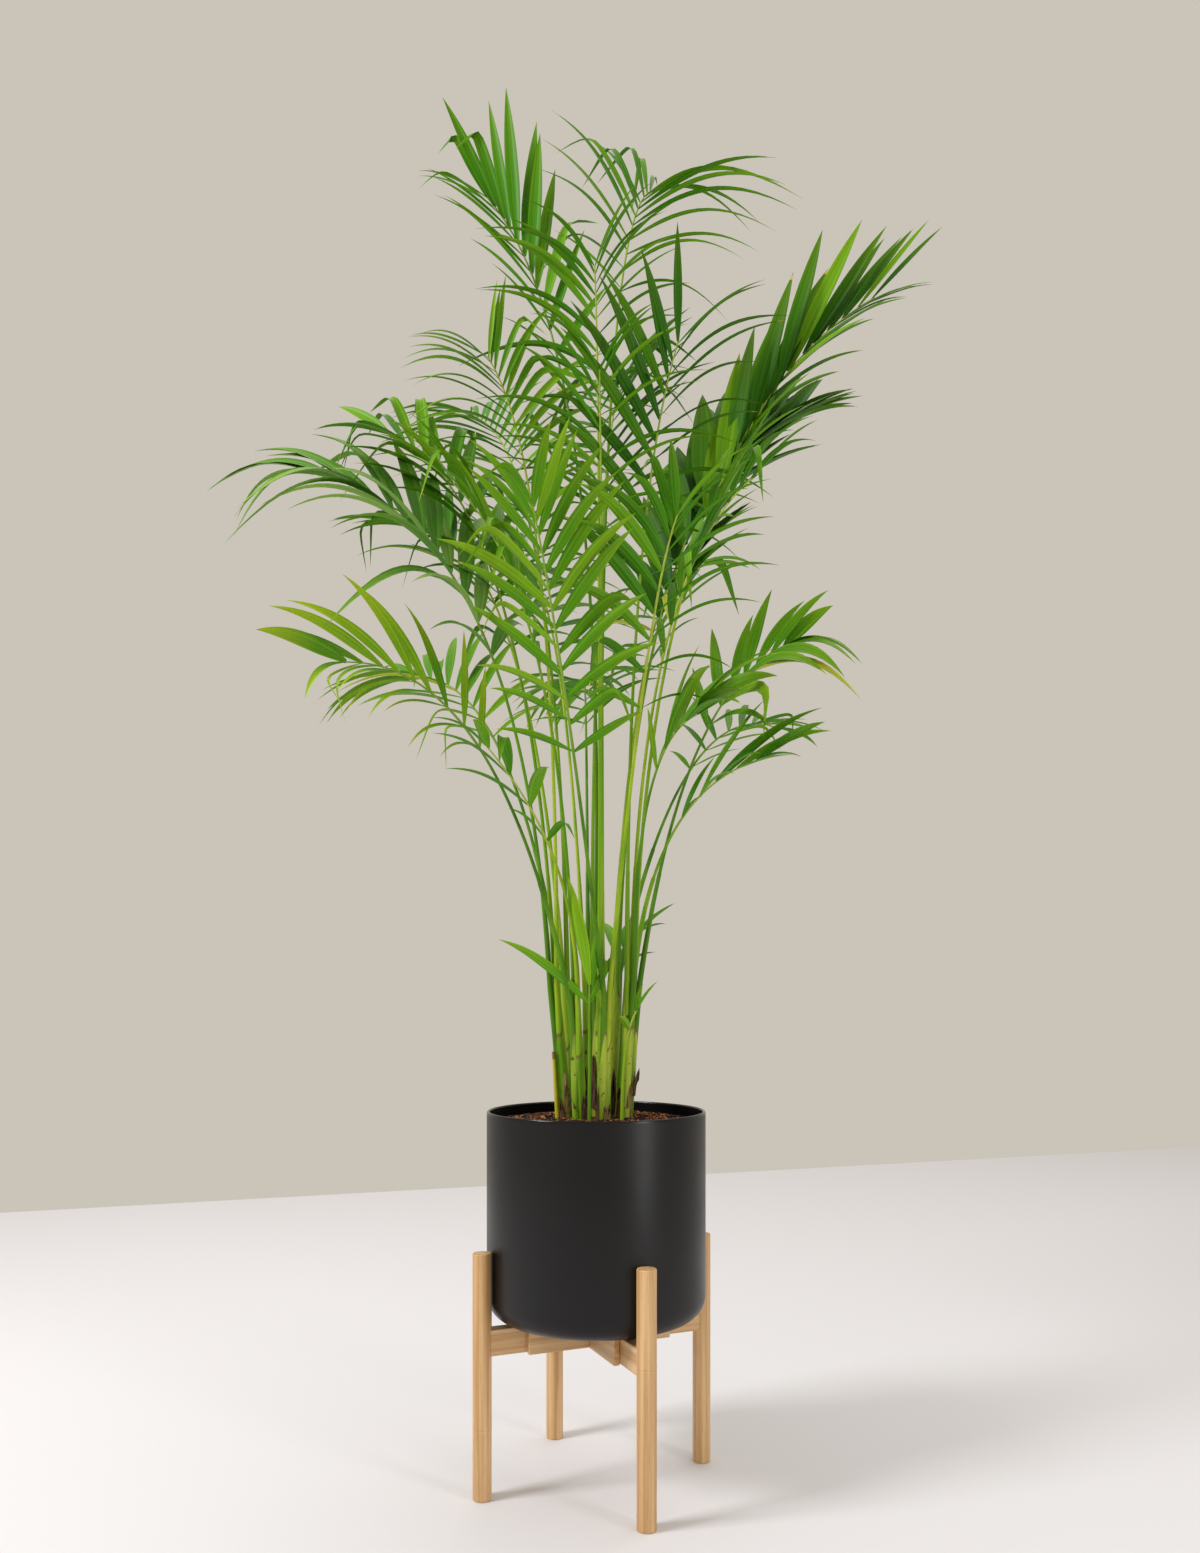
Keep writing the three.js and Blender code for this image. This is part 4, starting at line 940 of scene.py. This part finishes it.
def leaflet_rings(frond, look):
    """The rings of all leaflets of a frond, in pairs that crowd towards the tip. Their angle from the
    rib narrows evenly to the tip, and their length swells with sin(pi share^0.8) in between. Jittered
    numbers vary both, and the lift, tilt, droop, bend and twist."""
    number = frond["number"]
    pairs = max(2, round(frond["pairs"] * look["more"]))
    order, side = (grid.ravel() for grid in np.meshgrid(np.arange(pairs), [-1, 1], indexing="ij"))
    share = order / (pairs - 1)
    points, _ = rib_line(frond, np.linspace(0, 1, LENGTH_POINTS))
    rib_length = np.linalg.norm(np.diff(points, axis=0), axis=-1).sum()
    last = 1 - ROOT_LENGTH / 2 / rib_length
    along = frond["bare"] + (last - frond["bare"]) * share**PAIR_CROWDING
    along = np.minimum(along + PLACE_WOBBLE * jitter(side, order, number + 0.1), last)
    root, rib = rib_line(frond, along)
    across, face = blade_frame(frond, along)
    either = np.where(side[:, None] > 0, look[1], look[-1])
    breadth, long, low_open, tip_open, skyward, limp, bent = either.T
    opening = LOWEST_ANGLE * low_open * (1 - share) + HIGHEST_ANGLE * tip_open * share
    opening = opening + ANGLE_WOBBLE * jitter(number, order, side)
    spread = np.radians(np.maximum(opening, LEAST_ANGLE * np.minimum(low_open, tip_open)))[:, None]
    lift = np.radians(LEAFLET_LIFT + LIFT_WOBBLE * jitter(order, side, number + 0.5))[:, None]
    outward = rib * np.cos(spread) + across * side[:, None] * np.sin(spread)
    way = unit(outward * np.cos(lift) + face * np.sin(lift))
    swell = np.sin(np.pi * share**FULLNESS_POWER)
    length = frond["leaf"] * (SHORTEST_SHARE + (1 - SHORTEST_SHARE) * swell)
    length = length * long * (1 + LENGTH_WOBBLE * jitter(side, number, order + 0.25))
    width = LEAFLET_WIDTH * breadth * length * (look["low"] + (1 - look["low"]) * share)
    width = np.where(order == pairs - 1, width * look["tip"], width)
    droop = frond["droop"] * limp * (1 + DROOP_WOBBLE * jitter(number, side, order + 0.75))
    tilt = side * LEAFLET_TILT + TILT_WOBBLE * jitter(order, number + 0.2, side)
    tilt = np.radians(tilt * (1 - SKYWARD_STEADYING * skyward))[:, None]
    face = unit(face * (1 - skyward[:, None]) + UP * skyward[:, None])
    face = face * np.cos(tilt) + np.cross(way, face) * np.sin(tilt)
    over = (jitter(order, number, side + 0.3) + 1) / 2 < bent
    bend = np.radians(BEND_ANGLE + BEND_ANGLE_WOBBLE * jitter(number, order, side + 0.9))
    bend = np.where(over, bend, 0)
    bend_at = BEND_AT + BEND_AT_WOBBLE * jitter(order, number + 0.7, side)
    twist = TWIST_WOBBLE * jitter(side, order, number + 0.35)
    start = root + across * (side * rib_radius(frond, along) * RIB_SEAT)[:, None]
    return blades(start, way, face, length, width, droop, bend_at, bend, twist)


greens = {}
for green, (full, light, yellowing) in GREENS.items():
    greens[green] = [
        leaf_finish(f"living_leaflet_{green}_full", *full, yellowing),
        leaf_finish(f"living_leaflet_{green}_light", *light, yellowing),
    ]
# A few whole leaflets are turning, and have more brown spots on them than the green ones.
turning = leaf_finish("turning_leaflet", "#9aa61c", "#c6c440", 0.0, spotted=0.35)
# Yellowed and dried leaf tissue: the cuticle has dulled and the green has gone.
yellowed, _, _ = material("yellowed_leaflet_tip", "#b5a83a", 0.6, ior=1.42)
dried, _, _ = material("dried_leaflet_tip", "#8a6a3a", 0.75, ior=1.4)

leaf_uv = np.stack(np.broadcast_arrays((1 + BLADE_ACROSS) / 2, BLADE_STATIONS[:, None]), -1)
station = np.arange(len(BLADE_STATIONS) - 1)
for frond in fronds:
    look = dict(zip(LOOK_COLUMNS, LOOKS.get(frond["number"], USUAL_LOOK)))
    rings = leaflet_rings(frond, look)
    leaflet = np.arange(len(rings))
    light = jitter(leaflet, frond["number"], 0.4) > 1 - 2 * LIGHT_SHARE
    shade = np.where(light, 1, 0)[:, None] + 0 * station
    lot = jitter(leaflet, frond["number"], 0.6)[:, None]
    shade = np.where((lot > 1 - 2 * YELLOWED_SHARE) & (station >= len(station) - 2), 2, shade)
    shade = np.where((lot > 1 - 2 * DRIED_SHARE) & (station >= len(station) - 1), 3, shade)
    shade = np.where(np.isin(leaflet, TURNING.get(frond["number"], []))[:, None], 4, shade)
    name = f"frond_{frond['number']:02d}"
    finishes = [*greens[look["green"]], yellowed, dried, turning]
    leaves = skin(name + "_leaflets", in_frame(rings), finishes, leaf_uv, shade)
    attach(leaves, "root")
    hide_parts(name)
